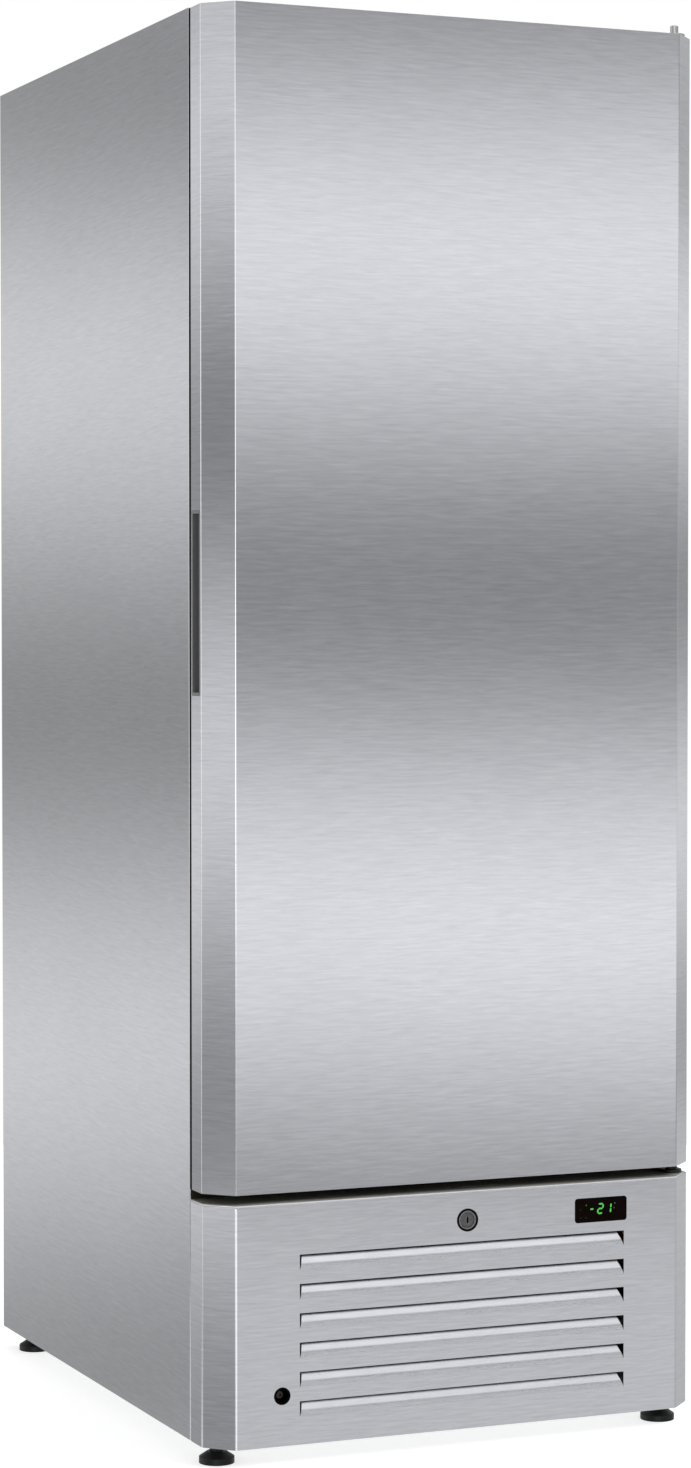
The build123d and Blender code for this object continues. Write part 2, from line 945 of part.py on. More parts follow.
with BuildPart() as top_hinge:
    # The plate lies on the cabinet's top, and its pin hangs down into the door.
    with BuildSketch(Plane.XY.offset(upper_plate_low)):
        add(hinge_outline())
        with Locations(*screw_places):
            RegularPolygon(screw_radius + clearance, screw_sides, mode=Mode.SUBTRACT)
    extrude(amount=hinge_plate)
    with BuildSketch(Plane.XY.offset(upper_plate_low)):
        with Locations((pin_x, pin_y)):
            Circle(hinge_pin_radius)
    extrude(amount=-(upper_plate_low - door_top + pin_entry - pin_collar_gap))
    with BuildSketch(Plane.XY.offset(upper_plate_low + hinge_plate)):
        with Locations((pin_x, pin_y)):
            Circle(pin_head_radius)
    extrude(amount=pin_head_height)
    chamfer(top_hinge.faces().sort_by(Axis.Z)[-1].edges(), length=pin_tip_edge)
finish(top_hinge, "top_hinge")

# ---------------------------------------------------------------- lower front panel

blade_drop = louvre_height - louvre_slit
blade_foot = louvre_bend * tan(radians(louvre_lean / 2)) + steel / 2
louvre_recess = (blade_drop - blade_foot) * tan(radians(louvre_lean))
louvre_levels = [louvre_top - i * louvre_pitch for i in range(louvre_count)]


def bent_prism(inset, top, bend_radius):
    """Solid under the bevelled outline, creased at its folds and rounded along its top edges."""
    with BuildPart() as prism:
        with BuildSketch(Plane.XY.offset(panel_bottom)):
            add(bevelled_outline(panel_back, inset, fold=0.0))
        extrude(amount=top - panel_bottom)
        top_edges = prism.edges().group_by(Axis.Z)[-1].sort_by(Axis.Y)
        fillet(top_edges[:-1], radius=bend_radius)
    return prism.part


with BuildPart() as lower_front_panel:
    # Folded box, open behind and below.
    add(bent_prism(0.0, panel_top, panel_bend))
    add(bent_prism(steel, panel_top - steel, panel_bend - steel), mode=Mode.SUBTRACT)
    # Lip along the bottom edge.
    with BuildSketch(Plane.XY.offset(panel_bottom)):
        add(bevelled_outline(panel_back, fold=0.0))
        add(bevelled_outline(panel_back, panel_foot_lip), mode=Mode.SUBTRACT)
    extrude(amount=steel)
    # Holes for the lock, the controller and the screw cup.
    with BuildSketch(front_plane(front_y + steel)):
        with Locations((lock_x, lock_z)):
            Circle(lock_body_radius + clearance)
        with Locations((controller_x, controller_z)):
            Rectangle(controller_body_width + 2 * clearance, controller_body_height + 2 * clearance)
        with Locations((cup_x, cup_z)):
            Circle(cup_radius - cup_flange + clearance)
    extrude(amount=steel, mode=Mode.SUBTRACT)
    # Slot in the top flange for the cam of the lock.
    with BuildSketch(Plane.XY.offset(panel_top - steel)):
        add(rectangle_between(keeper_left, keeper_right, keeper_front, keeper_back))
    extrude(amount=steel, mode=Mode.SUBTRACT)
    # Two hooks on the back of the top flange, which reach under the cross rail and up behind it.
    hook_low = panel_top - cross_rail_lap - clearance - steel
    hook_back = cabinet_front + steel + clearance + steel
    for hook_x in (-hook_spacing / 2, hook_spacing / 2):
        with BuildSketch(side_plane(hook_x - hook_width / 2)):
            add(rectangle_between(panel_back - steel, panel_back, hook_low, panel_top))
            add(rectangle_between(panel_back - steel, hook_back, hook_low, hook_low + steel))
            add(rectangle_between(hook_back - steel, hook_back, hook_low, hook_low + hook_rise))
        extrude(amount=hook_width)
    # Pressed louvres: each is cut along its top and ends and bent inwards along its bottom.
    for top in louvre_levels:
        low = top - louvre_height
        with BuildSketch(front_plane(front_y + steel)):
            add(rectangle_between(louvre_left, louvre_right, low, top))
        extrude(amount=steel, mode=Mode.SUBTRACT)
        blade = [
            (front_y, low),
            (front_y, low + blade_foot),
            (front_y + louvre_recess, low + blade_drop),
        ]
        with BuildPart(mode=Mode.PRIVATE) as louvre:
            with BuildSketch(side_plane(louvre_left + clearance)):
                add(folded_strip(blade, steel, louvre_bend, Side.RIGHT))
            extrude(amount=louvre_right - louvre_left - 2 * clearance)
            # The ends are cut back towards the top.
            with BuildSketch(front_plane(front_y + louvre_height)):
                for end, inward in ((louvre_left, 1), (louvre_right, -1)):
                    with BuildLine():
                        Polyline(
                            (end, low + steel),
                            (end, top),
                            (end + inward * (louvre_end_taper + clearance), top),
                            (end + inward * clearance, low + steel),
                            close=True,
                        )
                    make_face()
            extrude(amount=louvre_height, mode=Mode.SUBTRACT)
        add(louvre.part)
finish(lower_front_panel, "lower_front_panel")


# ---------------------------------------------------------------- lock

with BuildPart() as lock_ring:
    # Ring and threaded body, which the barrel turns in.
    with BuildSketch(front_plane(front_y)):
        with Locations((lock_x, lock_z)):
            Circle(lock_ring_radius)
    extrude(amount=lock_proud)
    chamfer(lock_ring.faces().sort_by(Axis.Y)[0].edges(), length=lock_proud / 2)
    with BuildSketch(front_plane(front_y)):
        with Locations((lock_x, lock_z)):
            Circle(lock_body_radius)
    extrude(amount=-lock_body_length)
    with BuildSketch(front_plane(front_y + lock_body_length)):
        with Locations((lock_x, lock_z)):
            Circle(lock_barrel_radius + running_fit)
    extrude(amount=lock_body_length + lock_proud, mode=Mode.SUBTRACT)
finish(lock_ring, "lock_ring")

with BuildPart() as lock_nut:
    with BuildSketch(front_plane(front_y + steel)):
        with Locations((lock_x, lock_z)):
            RegularPolygon(lock_nut_width / 2, 6, major_radius=False)
            Circle(lock_body_radius, mode=Mode.SUBTRACT)
    extrude(amount=-lock_nut_thickness)
finish(lock_nut, "lock_nut")

barrel_front = front_y - lock_proud + lock_plug_recess
with BuildPart() as lock_barrel:
    with BuildSketch(front_plane(cam_front)):
        with Locations((lock_x, lock_z)):
            Circle(lock_barrel_radius)
    extrude(amount=cam_front - barrel_front)
    chamfer(lock_barrel.faces().sort_by(Axis.Y)[0].edges(), length=lock_barrel_edge)
    with BuildSketch(front_plane(barrel_front)):
        with Locations((lock_x, lock_z)):
            SlotOverall(keyhole_length, keyhole_width, rotation=90)
    extrude(amount=-keyhole_depth, mode=Mode.SUBTRACT)
    with BuildSketch(front_plane(cam_front)):
        with Locations((lock_x, lock_z)):
            Rectangle(cam_square, cam_square)
    extrude(amount=-(lock_cam_thickness + steel))
finish(lock_barrel, "lock_barrel")

with BuildPart() as lock_cam:
    # Flat bar on the square of the barrel, level while the lock is open.
    tip = lock_x + lock_cam_length - lock_cam_width / 2
    with BuildSketch(front_plane(cam_front)):
        with Locations((lock_x, lock_z)):
            Circle(lock_barrel_radius)
        add(rectangle_between(lock_x, tip, lock_z - lock_cam_width / 2, lock_z + lock_cam_width / 2))
        with Locations((tip, lock_z)):
            Circle(lock_cam_width / 2)
        with Locations((lock_x, lock_z)):
            Rectangle(cam_square, cam_square, mode=Mode.SUBTRACT)
    extrude(amount=-lock_cam_thickness)
finish(lock_cam, "lock_cam")


# ---------------------------------------------------------------- controller and screw cup

with BuildPart() as controller_housing:
    with BuildSketch(front_plane(front_y)):
        with Locations((controller_x, controller_z)):
            RectangleRounded(controller_width, controller_height, controller_corner)
    extrude(amount=controller_proud)
    chamfer(controller_housing.faces().sort_by(Axis.Y)[0].edges(), length=controller_proud / 2)
    with BuildSketch(front_plane(front_y)):
        with Locations((controller_x, controller_z)):
            Rectangle(controller_body_width, controller_body_height)
    extrude(amount=-controller_body_length)
    with BuildSketch(front_plane(front_y - controller_proud)):
        with Locations((controller_x, controller_z)):
            RectangleRounded(
                controller_width - 2 * lens_margin,
                controller_height - 2 * lens_margin,
                controller_corner - lens_margin,
            )
    extrude(amount=-lens_thickness, mode=Mode.SUBTRACT)
finish(controller_housing, "controller_housing")

with BuildPart() as controller_lens:
    with BuildSketch(front_plane(front_y - controller_proud + clearance)):
        with Locations((controller_x, controller_z)):
            RectangleRounded(
                controller_width - 2 * lens_margin - clearance / 2,
                controller_height - 2 * lens_margin - clearance / 2,
                controller_corner - lens_margin,
            )
    extrude(amount=-(lens_thickness - clearance))
finish(controller_lens, "controller_lens")

with BuildPart() as panel_screw_cup:
    with BuildSketch(front_plane(front_y)):
        with Locations((cup_x, cup_z)):
            Circle(cup_radius)
    extrude(amount=cup_proud)
    with BuildSketch(front_plane(front_y)):
        with Locations((cup_x, cup_z)):
            Circle(cup_radius - cup_flange)
    extrude(amount=-cup_depth)
    with BuildSketch(front_plane(front_y - cup_proud)):
        with Locations((cup_x, cup_z)):
            Circle(cup_radius - cup_flange - cup_wall)
    extrude(amount=-(cup_depth + cup_proud - cup_wall), mode=Mode.SUBTRACT)
    with BuildSketch(front_plane(front_y + cup_depth)):
        with Locations((cup_x, cup_z)):
            RegularPolygon(panel_screw_radius + clearance, screw_sides)
    extrude(amount=cup_wall, mode=Mode.SUBTRACT)
finish(panel_screw_cup, "panel_screw_cup")

cup_floor = front_y + cup_depth - cup_wall
with BuildPart() as screws:
    # Hexagon screws of both hinge plates.
    for seat, away in (
        (upper_plate_low + hinge_plate, 1),
        (lower_plate_top - hinge_plate, -1),
    ):
        with BuildSketch(Plane.XY.offset(seat)):
            with Locations(*screw_places):
                RegularPolygon(screw_head_radius, 6)
        extrude(amount=away * screw_head_height)
        with BuildSketch(Plane.XY.offset(seat)):
            with Locations(*screw_places):
                RegularPolygon(screw_radius, screw_sides)
        extrude(amount=-away * hinge_plate)
    # Socket screw in the cup of the lower panel.
    with BuildSketch(front_plane(cup_floor)):
        with Locations((cup_x, cup_z)):
            Circle(panel_screw_head_radius)
            RegularPolygon(panel_screw_radius, 6, mode=Mode.SUBTRACT)
    extrude(amount=panel_screw_radius)
    with BuildSketch(front_plane(cup_floor)):
        with Locations((cup_x, cup_z)):
            RegularPolygon(panel_screw_radius, screw_sides)
    extrude(amount=-panel_screw_length)
finish(screws, "screws")


# ---------------------------------------------------------------- base tray and feet

foot_places = (
    ("foot_front_left", -foot_x, front_foot_y),
    ("foot_front_right", foot_x, front_foot_y),
    ("foot_rear_left", -foot_x, rear_foot_y),
    ("foot_rear_right", foot_x, rear_foot_y),
)
tray_front = front_y + panel_foot_lip + clearance

with BuildPart() as base_tray:
    # Pressed tray under the condensing unit: it follows the panel in front and the skins at the sides.
    with BuildSketch(Plane.XY.offset(floor_gap)):
        add(bevelled_outline(cabinet_back - bend, panel_foot_lip + clearance))
        add(rectangle_between(-skin_x, skin_x, cabinet_front + bend, cabinet_back - bend))
    extrude(amount=base_sheet)
    for sign in (-1, 1):
        with BuildSketch(side_plane(sign * skin_x)):
            add(
                rectangle_between(
                    cabinet_front + bend, cabinet_back - bend, floor_gap, floor_gap + base_flange
                )
            )
        extrude(amount=-sign * base_sheet)
    # Post that takes the screw of the lower panel.
    post_y = front_y + cup_depth + clearance
    with BuildSketch(front_plane(post_y + base_sheet)):
        add(
            rectangle_between(
                cup_x - screw_post_width / 2,
                cup_x + screw_post_width / 2,
                floor_gap,
                cup_z + screw_post_margin,
            )
        )
    extrude(amount=base_sheet)
    with BuildSketch(Plane.XY.offset(floor_gap)):
        add(
            rectangle_between(
                cup_x - screw_post_width / 2,
                cup_x + screw_post_width / 2,
                post_y,
                tray_front + screw_post_foot,
            )
        )
    extrude(amount=base_sheet)
    with BuildSketch(front_plane(post_y + base_sheet)):
        with Locations((cup_x, cup_z)):
            RegularPolygon(panel_screw_radius + thread_gap, screw_sides)
    extrude(amount=base_sheet, mode=Mode.SUBTRACT)
    # Threaded bosses for the feet.
    with BuildSketch(Plane.XY.offset(floor_gap)):
        with Locations(*[(x, y) for _, x, y in foot_places]):
            RegularPolygon(boss_radius, 6)
    extrude(amount=boss_height)
    with BuildSketch(Plane.XY.offset(floor_gap)):
        with Locations(*[(x, y) for _, x, y in foot_places]):
            RegularPolygon(foot_stem_radius + thread_gap, foot_stem_sides)
    extrude(amount=boss_height, mode=Mode.SUBTRACT)
finish(base_tray, "base_tray")

foot_profile = [
    (0, 0),
    (foot_disc_radius, 0),
    (foot_disc_radius, foot_disc_height),
    (foot_cone_radius, foot_cone_top),
    (0, foot_cone_top),
]
for name, x, y in foot_places:
    with BuildPart() as foot:
        with BuildSketch(Plane(origin=(x, y, 0), x_dir=(1, 0, 0), z_dir=(0, -1, 0))):
            with BuildLine():
                Polyline(*foot_profile, close=True)
            make_face()
        revolve(axis=Axis((x, y, 0), (0, 0, 1)))
        with BuildSketch(Plane(origin=(x, y, foot_cone_top))):
            RegularPolygon(foot_nut_width / 2, 6, major_radius=False)
        extrude(amount=foot_nut_height)
        with BuildSketch(Plane(origin=(x, y, foot_cone_top))):
            RegularPolygon(foot_stem_radius, foot_stem_sides)
        extrude(amount=foot_stem_length)
    finish(foot, name)


# ---------------------------------------------------------------- shelves

shelf_first = mouth_bottom + shelf_rise
pilaster_x = mouth_half - liner_wall
pilaster_first = liner_front + pilaster_setback
pilaster_rows = (pilaster_first, pilaster_first + pilaster_spacing)
pilaster_low = mouth_bottom + pilaster_end_gap
pilaster_high = mouth_top - pilaster_end_gap
shelf_levels = [shelf_first + i * shelf_pitch for i in range(shelf_count)]

with BuildPart() as shelf_pilasters:
    # Four slotted rails, two on each side of the compartment.
    for sign in (-1, 1):
        for y in pilaster_rows:
            half = pilaster_width / 2
            with BuildSketch(Plane.XY.offset(pilaster_low)):
                wall_x = sign * pilaster_x
                crown_x = sign * (pilaster_x - pilaster_depth)
                add(rectangle_between(min(wall_x, crown_x), max(wall_x, crown_x), y - half, y + half))
                hollow_x = crown_x + sign * pilaster_sheet
                add(
                    rectangle_between(
                        min(wall_x, hollow_x),
                        max(wall_x, hollow_x),
                        y - half + pilaster_sheet,
                        y + half - pilaster_sheet,
                    ),
                    mode=Mode.SUBTRACT,
                )
            extrude(amount=pilaster_high - pilaster_low)
            with BuildSketch(side_plane(crown_x)):
                for level in shelf_levels:
                    with Locations((y, level)):
                        Rectangle(slot_width, slot_height)
            extrude(amount=sign * pilaster_sheet, mode=Mode.SUBTRACT)
finish(shelf_pilasters, "shelf_pilasters")

rail_face = pilaster_x - pilaster_depth
with BuildPart() as shelf_clips:
    # Angle clips under each corner of each shelf.
    for level in shelf_levels:
        for sign in (-1, 1):
            for y in pilaster_rows:
                with BuildSketch(front_plane(y + slot_width / 2)):
                    with BuildLine():
                        Polyline(
                            (sign * rail_face, level - clip_reach),
                            (sign * rail_face, level),
                            (sign * (rail_face - clip_reach), level),
                            (sign * (rail_face - clip_reach), level - clip_sheet),
                            (sign * (rail_face - clip_sheet), level - clip_sheet),
                            (sign * (rail_face - clip_sheet), level - clip_reach),
                            close=True,
                        )
                    make_face()
                extrude(amount=slot_width)
finish(shelf_clips, "shelf_clips")

shelf_half = rail_face - shelf_side_gap
shelf_front = cabinet_front + shelf_front_gap
shelf_back = shelf_front + shelf_depth
shelf_middle = (shelf_front + shelf_back) / 2
wire_span = 2 * (shelf_half - shelf_rim)
wire_step = wire_span / (shelf_wires + 1)

with BuildPart() as shelf_grid:
    # Welded grid: a rim and a middle stay of thick wire, and thin wires from front to back.
    with BuildSketch(Plane.XY):
        with Locations((0, shelf_middle)):
            Rectangle(2 * shelf_half, shelf_depth)
            Rectangle(2 * (shelf_half - shelf_rim), shelf_depth - 2 * shelf_rim, mode=Mode.SUBTRACT)
            Rectangle(2 * shelf_half, shelf_rim)
    extrude(amount=shelf_rim)
    with BuildSketch(Plane.XY.offset(shelf_rim - shelf_wire)):
        with Locations((0, shelf_middle)):
            with GridLocations(wire_step, 0, shelf_wires, 1):
                Rectangle(shelf_wire, shelf_depth - shelf_rim)
    extrude(amount=shelf_wire)

for number, level in enumerate(shelf_levels, 1):
    with BuildPart() as wire_shelf:
        add(shelf_grid.part.moved(Location((0, 0, level))))
    finish(wire_shelf, f"wire_shelf_{number}")


# ---------------------------------------------------------------- fans

def fan_rotor(x, y, z, radius):
    """Axial fan about an axis along Y: a hub and lofted blades that twist towards the tip."""
    with BuildPart() as rotor:
        with BuildSketch(Plane(origin=(x, y, z), x_dir=(1, 0, 0), z_dir=(0, -1, 0))):
            RegularPolygon(hub_radius, hub_sides)
        extrude(amount=hub_length)
        for i in range(blade_count):
            turn = i * 360 / blade_count
            root = Plane(origin=(0, 0, hub_radius - blade_root_sink), x_dir=(1, 0, 0), z_dir=(0, 0, 1))
            tip = Plane(origin=(0, 0, radius), x_dir=(1, 0, 0), z_dir=(0, 0, 1))
            with BuildPart(mode=Mode.PRIVATE) as blade:
                with BuildSketch(root.rotated((0, 0, blade_root_angle))):
                    Rectangle(blade_root_chord, blade_thickness)
                with BuildSketch(tip.rotated((0, 0, blade_tip_angle))):
                    Rectangle(blade_tip_chord, blade_thickness)
                loft(ruled=True)
            place = Location((x, y - hub_length / 2, z)) * Location((0, 0, 0), (0, turn, 0))
            add(blade.part.moved(place))
    return rotor.part


evap_fan_z = mouth_bottom + evap_fan_rise
duct_front = liner_back - liner_wall - duct_depth
evap_hub_back = duct_front + evap_fan_setback
condenser_front = front_y + condenser_setback
condenser_back = condenser_front + condenser_depth
shroud_front = condenser_back
shroud_back = shroud_front + shroud_depth
condenser_mid_z = condenser_bottom + condenser_passes * coil_pitch / 2
condenser_hub_back = shroud_back + fan_shroud_gap

for name, x, y, z in (
    ("evaporator_fan_blade", 0.0, evap_hub_back, evap_fan_z),
    ("condenser_fan_blade", condenser_fan_x, condenser_hub_back, condenser_mid_z),
):
    with BuildPart() as fan:
        add(fan_rotor(x, y, z, fan_radius))
        with BuildSketch(front_plane(y)):
            with Locations((x, z)):
                Circle(shaft_radius + running_fit)
        extrude(amount=shaft_socket, mode=Mode.SUBTRACT)
    finish(fan, name)

arm_radius = fan_radius + arm_overreach
liner_inside_back = liner_back - liner_wall
for name, x, y, z, mount_y in (
    ("evaporator_fan_motor", 0.0, evap_hub_back, evap_fan_z, liner_inside_back),
    ("condenser_fan_motor", condenser_fan_x, condenser_hub_back, condenser_mid_z, shroud_back),
):
    # The motor hangs on a cross of flat arms. On the shroud, posts carry the arms clear of the fan.
    behind = y < mount_y
    arms_back = mount_y if behind else y + motor_length
    with BuildPart() as motor:
        with BuildSketch(front_plane(y + motor_gap)):
            with Locations((x, z)):
                Circle(motor_radius)
        extrude(amount=-(arms_back - y - motor_gap))
        chamfer(motor.faces().sort_by(Axis.Y)[0].edges(), length=motor_edge)
        with BuildSketch(front_plane(y + motor_gap)):
            with Locations((x, z)):
                Circle(shaft_radius)
        extrude(amount=motor_gap + shaft_socket - shaft_end_gap)
        with BuildSketch(front_plane(arms_back)):
            with Locations((x, z)):
                Rectangle(2 * arm_radius, arm_width)
                Rectangle(arm_width, 2 * arm_radius)
        extrude(amount=arm_sheet)
        if not behind:
            with BuildSketch(front_plane(arms_back)):
                for turn in range(4):
                    with Locations(Location((x, z), turn * 90)):
                        with Locations((arm_radius - post_width / 2, 0)):
                            Rectangle(post_width, arm_width)
            extrude(amount=arms_back - mount_y)
    finish(motor, name)


# ---------------------------------------------------------------- finned coils

def serpentine(x_left, x_right, y, z_low, passes, radius):
    """One tube that runs to and fro across and climbs a pitch at each return bend."""
    points = []
    for i in range(passes):
        z = z_low + i * coil_pitch
        ahead = i % 2 == 0
        start, end = (x_left, x_right) if ahead else (x_right, x_left)
        points.append((start, y, z))
        points.append((end, y, z))
        if i < passes - 1:
            outward = coil_bend_reach if ahead else -coil_bend_reach
            points.append((end + outward, y, z + coil_bend_rise))
            points.append((end + outward, y, z + coil_pitch - coil_bend_rise))
    with BuildPart() as tube:
        with BuildLine() as route:
            Polyline(*points)
        with BuildSketch(side_plane(x_left)):
            with Locations((y, z_low)):
                RegularPolygon(radius, tube_sides)
        sweep(path=route.line, transition=Transition.RIGHT)
    return tube.part


def fin_pack(x_left, x_right, y, depth, z_low, z_high, count):
    """Parallel fins across the tubes, at an even pitch."""
    with BuildPart() as fins:
        step = (x_right - x_left - fin_sheet) / (count - 1)
        for i in range(count):
            with BuildSketch(side_plane(x_left + i * step)):
                add(rectangle_between(y - depth / 2, y + depth / 2, z_low, z_high))
            extrude(amount=fin_sheet)
    return fins.part


condenser_y = (condenser_front + condenser_back) / 2
condenser_half = condenser_width / 2
condenser_left = condenser_fan_x - condenser_half
condenser_right = condenser_fan_x + condenser_half
coil_low = condenser_bottom + coil_pitch / 2
condenser_top = condenser_bottom + condenser_passes * coil_pitch

with BuildPart() as condenser_coil:
    add(
        serpentine(
            condenser_left,
            condenser_right,
            condenser_y,
            coil_low,
            condenser_passes,
            coil_tube_radius,
        )
    )
finish(condenser_coil, "condenser_coil")

with BuildPart() as condenser_fin_pack:
    add(
        fin_pack(
            condenser_left + coil_tube_radius,
            condenser_right - coil_tube_radius,
            condenser_y,
            condenser_depth,
            condenser_bottom,
            condenser_top,
            condenser_fins,
        )
    )
finish(condenser_fin_pack, "condenser_fins")

with BuildPart() as condenser_shroud:
    # Box behind the condenser with a round mouth for the fan.
    with BuildSketch(front_plane(shroud_back)):
        add(rectangle_between(condenser_left, condenser_right, tray_top, condenser_top))
    extrude(amount=shroud_depth)
    with BuildSketch(front_plane(shroud_back - base_sheet)):
        add(
            rectangle_between(
                condenser_left + base_sheet,
                condenser_right - base_sheet,
                tray_top + base_sheet,
                condenser_top - base_sheet,
            )
        )
    extrude(amount=shroud_depth, mode=Mode.SUBTRACT)
    with BuildSketch(front_plane(shroud_back)):
        with Locations((condenser_fan_x, condenser_mid_z)):
            Circle(fan_radius + fan_tip_gap)
    extrude(amount=shroud_depth, mode=Mode.SUBTRACT)
finish(condenser_shroud, "condenser_shroud")

evap_y = duct_front + duct_depth - evap_depth / 2
evap_half = mouth_half - evap_side_gap
evap_low = mouth_bottom + evap_rise
with BuildPart() as evaporator_coil:
    add(serpentine(-evap_half, evap_half, evap_y, evap_low, evap_passes, coil_tube_radius))
finish(evaporator_coil, "evaporator_coil")

evap_fin_low = evap_low - coil_pitch / 2
evap_fin_high = evap_fin_low + evap_passes * coil_pitch
with BuildPart() as evaporator_fin_pack:
    add(
        fin_pack(
            coil_tube_radius - evap_half,
            evap_half - coil_tube_radius,
            evap_y,
            evap_depth,
            evap_fin_low,
            evap_fin_high,
            evap_fins,
        )
    )
finish(evaporator_fin_pack, "evaporator_fins")

cover_half = mouth_half - duct_cover_gap
cover_low = mouth_bottom + cover_low_gap
cover_high = mouth_top - cover_high_gap
with BuildPart() as evaporator_cover:
    # Sheet cover in front of the evaporator: air intake below, fan mouth above, outlet slots on top.
    with BuildSketch(front_plane(duct_front)):
        add(rectangle_between(-cover_half, cover_half, cover_low, cover_high))
        with Locations((0, evap_fan_z)):
            Circle(fan_radius + fan_tip_gap, mode=Mode.SUBTRACT)
        for i in range(intake_slots):
            with Locations((0, cover_low + intake_margin + i * intake_pitch)):
                Rectangle(intake_length, intake_height, mode=Mode.SUBTRACT)
        for i in range(outlet_slots):
            with Locations((0, cover_high - intake_margin - i * intake_pitch)):
                Rectangle(intake_length, intake_height, mode=Mode.SUBTRACT)
    extrude(amount=cover_sheet)
    for sign in (-1, 1):
        with BuildSketch(side_plane(sign * cover_half)):
            add(
                rectangle_between(
                    duct_front - cover_sheet, duct_front + duct_depth, cover_low, cover_high
                )
            )
        extrude(amount=-sign * cover_sheet)
    # Round wire guard welded over the fan's mouth.
    for i in range(guard_rings):
        ring_radius = (fan_radius + 2 * fan_tip_gap) * (i + 1) / guard_rings
        with BuildSketch(front_plane(duct_front - cover_sheet)):
            with Locations((0, evap_fan_z)):
                Circle(ring_radius + guard_wire / 2)
                Circle(ring_radius - guard_wire / 2, mode=Mode.SUBTRACT)
        extrude(amount=guard_wire)
    with BuildSketch(front_plane(duct_front - cover_sheet)):
        with Locations((0, evap_fan_z)):
            Rectangle(2 * (fan_radius + 2 * fan_tip_gap), guard_wire)
            Rectangle(guard_wire, 2 * (fan_radius + 2 * fan_tip_gap))
    extrude(amount=guard_wire)
finish(evaporator_cover, "evaporator_cover")


heater_z = evap_fin_low - heater_drop
with BuildPart() as defrost_heater:
    with BuildLine() as heater_route:
        Polyline(
            (-evap_half, evap_y - heater_front, heater_z),
            (evap_half, evap_y - heater_front, heater_z),
            (evap_half, evap_y + heater_back, heater_z),
            (-evap_half, evap_y + heater_back, heater_z),
        )
    with BuildSketch(side_plane(-evap_half)):
        with Locations((evap_y - heater_front, heater_z)):
            RegularPolygon(heater_radius, tube_sides)
    sweep(path=heater_route.line, transition=Transition.RIGHT)
finish(defrost_heater, "defrost_heater")

pan_low = mouth_bottom + liner_wall + pan_rise
spout_radius = drain_radius - spout_gap
with BuildPart() as drip_pan:
    # Funnel-floored tray under the evaporator, with a spout into the drain hose.
    with BuildSketch(Plane.XY.offset(pan_low + pan_height)):
        with Locations((0, drain_y)):
            Rectangle(2 * evap_half, duct_depth)
    with BuildSketch(Plane.XY.offset(pan_low)):
        with Locations((0, drain_y)):
            Rectangle(evap_half, duct_depth / 2)
    loft()
    offset(amount=-pan_wall, openings=drip_pan.faces().sort_by(Axis.Z)[-1])
    with BuildSketch(Plane.XY.offset(pan_low + pan_wall)):
        with Locations((0, drain_y)):
            Circle(spout_radius)
    extrude(amount=-(pan_wall + spout_length))
    with BuildSketch(Plane.XY.offset(pan_low + pan_wall)):
        with Locations((0, drain_y)):
            Circle(spout_radius - pan_wall)
    extrude(amount=-(pan_wall + spout_length), mode=Mode.SUBTRACT)
finish(drip_pan, "evaporator_drip_pan")

hose_low = tray_top + hose_rise
with BuildPart() as drain_hose:
    with BuildSketch(Plane.XY.offset(hose_low)):
        with Locations((0, drain_y)):
            RegularPolygon(drain_radius, hose_sides)
            RegularPolygon(spout_radius + clearance, hose_sides, major_radius=False, mode=Mode.SUBTRACT)
    extrude(amount=pan_low - spout_gap - hose_low)
finish(drain_hose, "drain_hose")


# ---------------------------------------------------------------- condensing unit

deck = tray_top
compressor_x = half_width - compressor_from_side
body_low = deck + mount_height + base_sheet + compressor_seat
foot_half_x = compressor_radius + compressor_foot_reach
foot_half_y = compressor_foot_depth / 2
grommet_places = [
    (
        compressor_x + sx * (foot_half_x - grommet_edge),
        compressor_y + sy * (foot_half_y - grommet_edge),
    )
    for sx in (-1, 1)
    for sy in (-1, 1)
]

with BuildPart() as compressor:
    # Welded steel pot on a foot plate.
    with BuildSketch(Plane(origin=(0, compressor_y, 0), x_dir=(1, 0, 0), z_dir=(0, -1, 0))):
        with BuildLine():
            pot_top = body_low + compressor_height
            seam = body_low + seam_height
            edge = compressor_x + compressor_radius
            Polyline(
                (compressor_x, pot_top),
                (compressor_x, body_low),
                (edge, body_low),
                (edge, seam),
                (edge + seam_lip, seam),
                (edge + seam_lip, seam + seam_lip),
                (edge, seam + seam_lip),
                (edge, pot_top - pot_dome),
            )
            RadiusArc((edge, pot_top - pot_dome), (edge - pot_dome, pot_top), -pot_dome)
            Line((edge - pot_dome, pot_top), (compressor_x, pot_top))
        make_face()
    revolve(axis=Axis((compressor_x, compressor_y, 0), (0, 0, 1)))
    with BuildSketch(Plane.XY.offset(deck + mount_height)):
        with Locations((compressor_x, compressor_y)):
            Rectangle(2 * foot_half_x, 2 * foot_half_y)
    extrude(amount=base_sheet)
    with BuildSketch(Plane.XY.offset(deck + mount_height + base_sheet)):
        with Locations((compressor_x, compressor_y)):
            Rectangle(compressor_radius, compressor_radius)
    extrude(amount=body_low - deck - mount_height - base_sheet)
finish(compressor, "compressor")

with BuildPart() as compressor_mounts:
    with BuildSketch(Plane.XY.offset(deck)):
        with Locations(*grommet_places):
            RegularPolygon(grommet_radius, grommet_sides)
    extrude(amount=mount_height)
finish(compressor_mounts, "compressor_mounts")

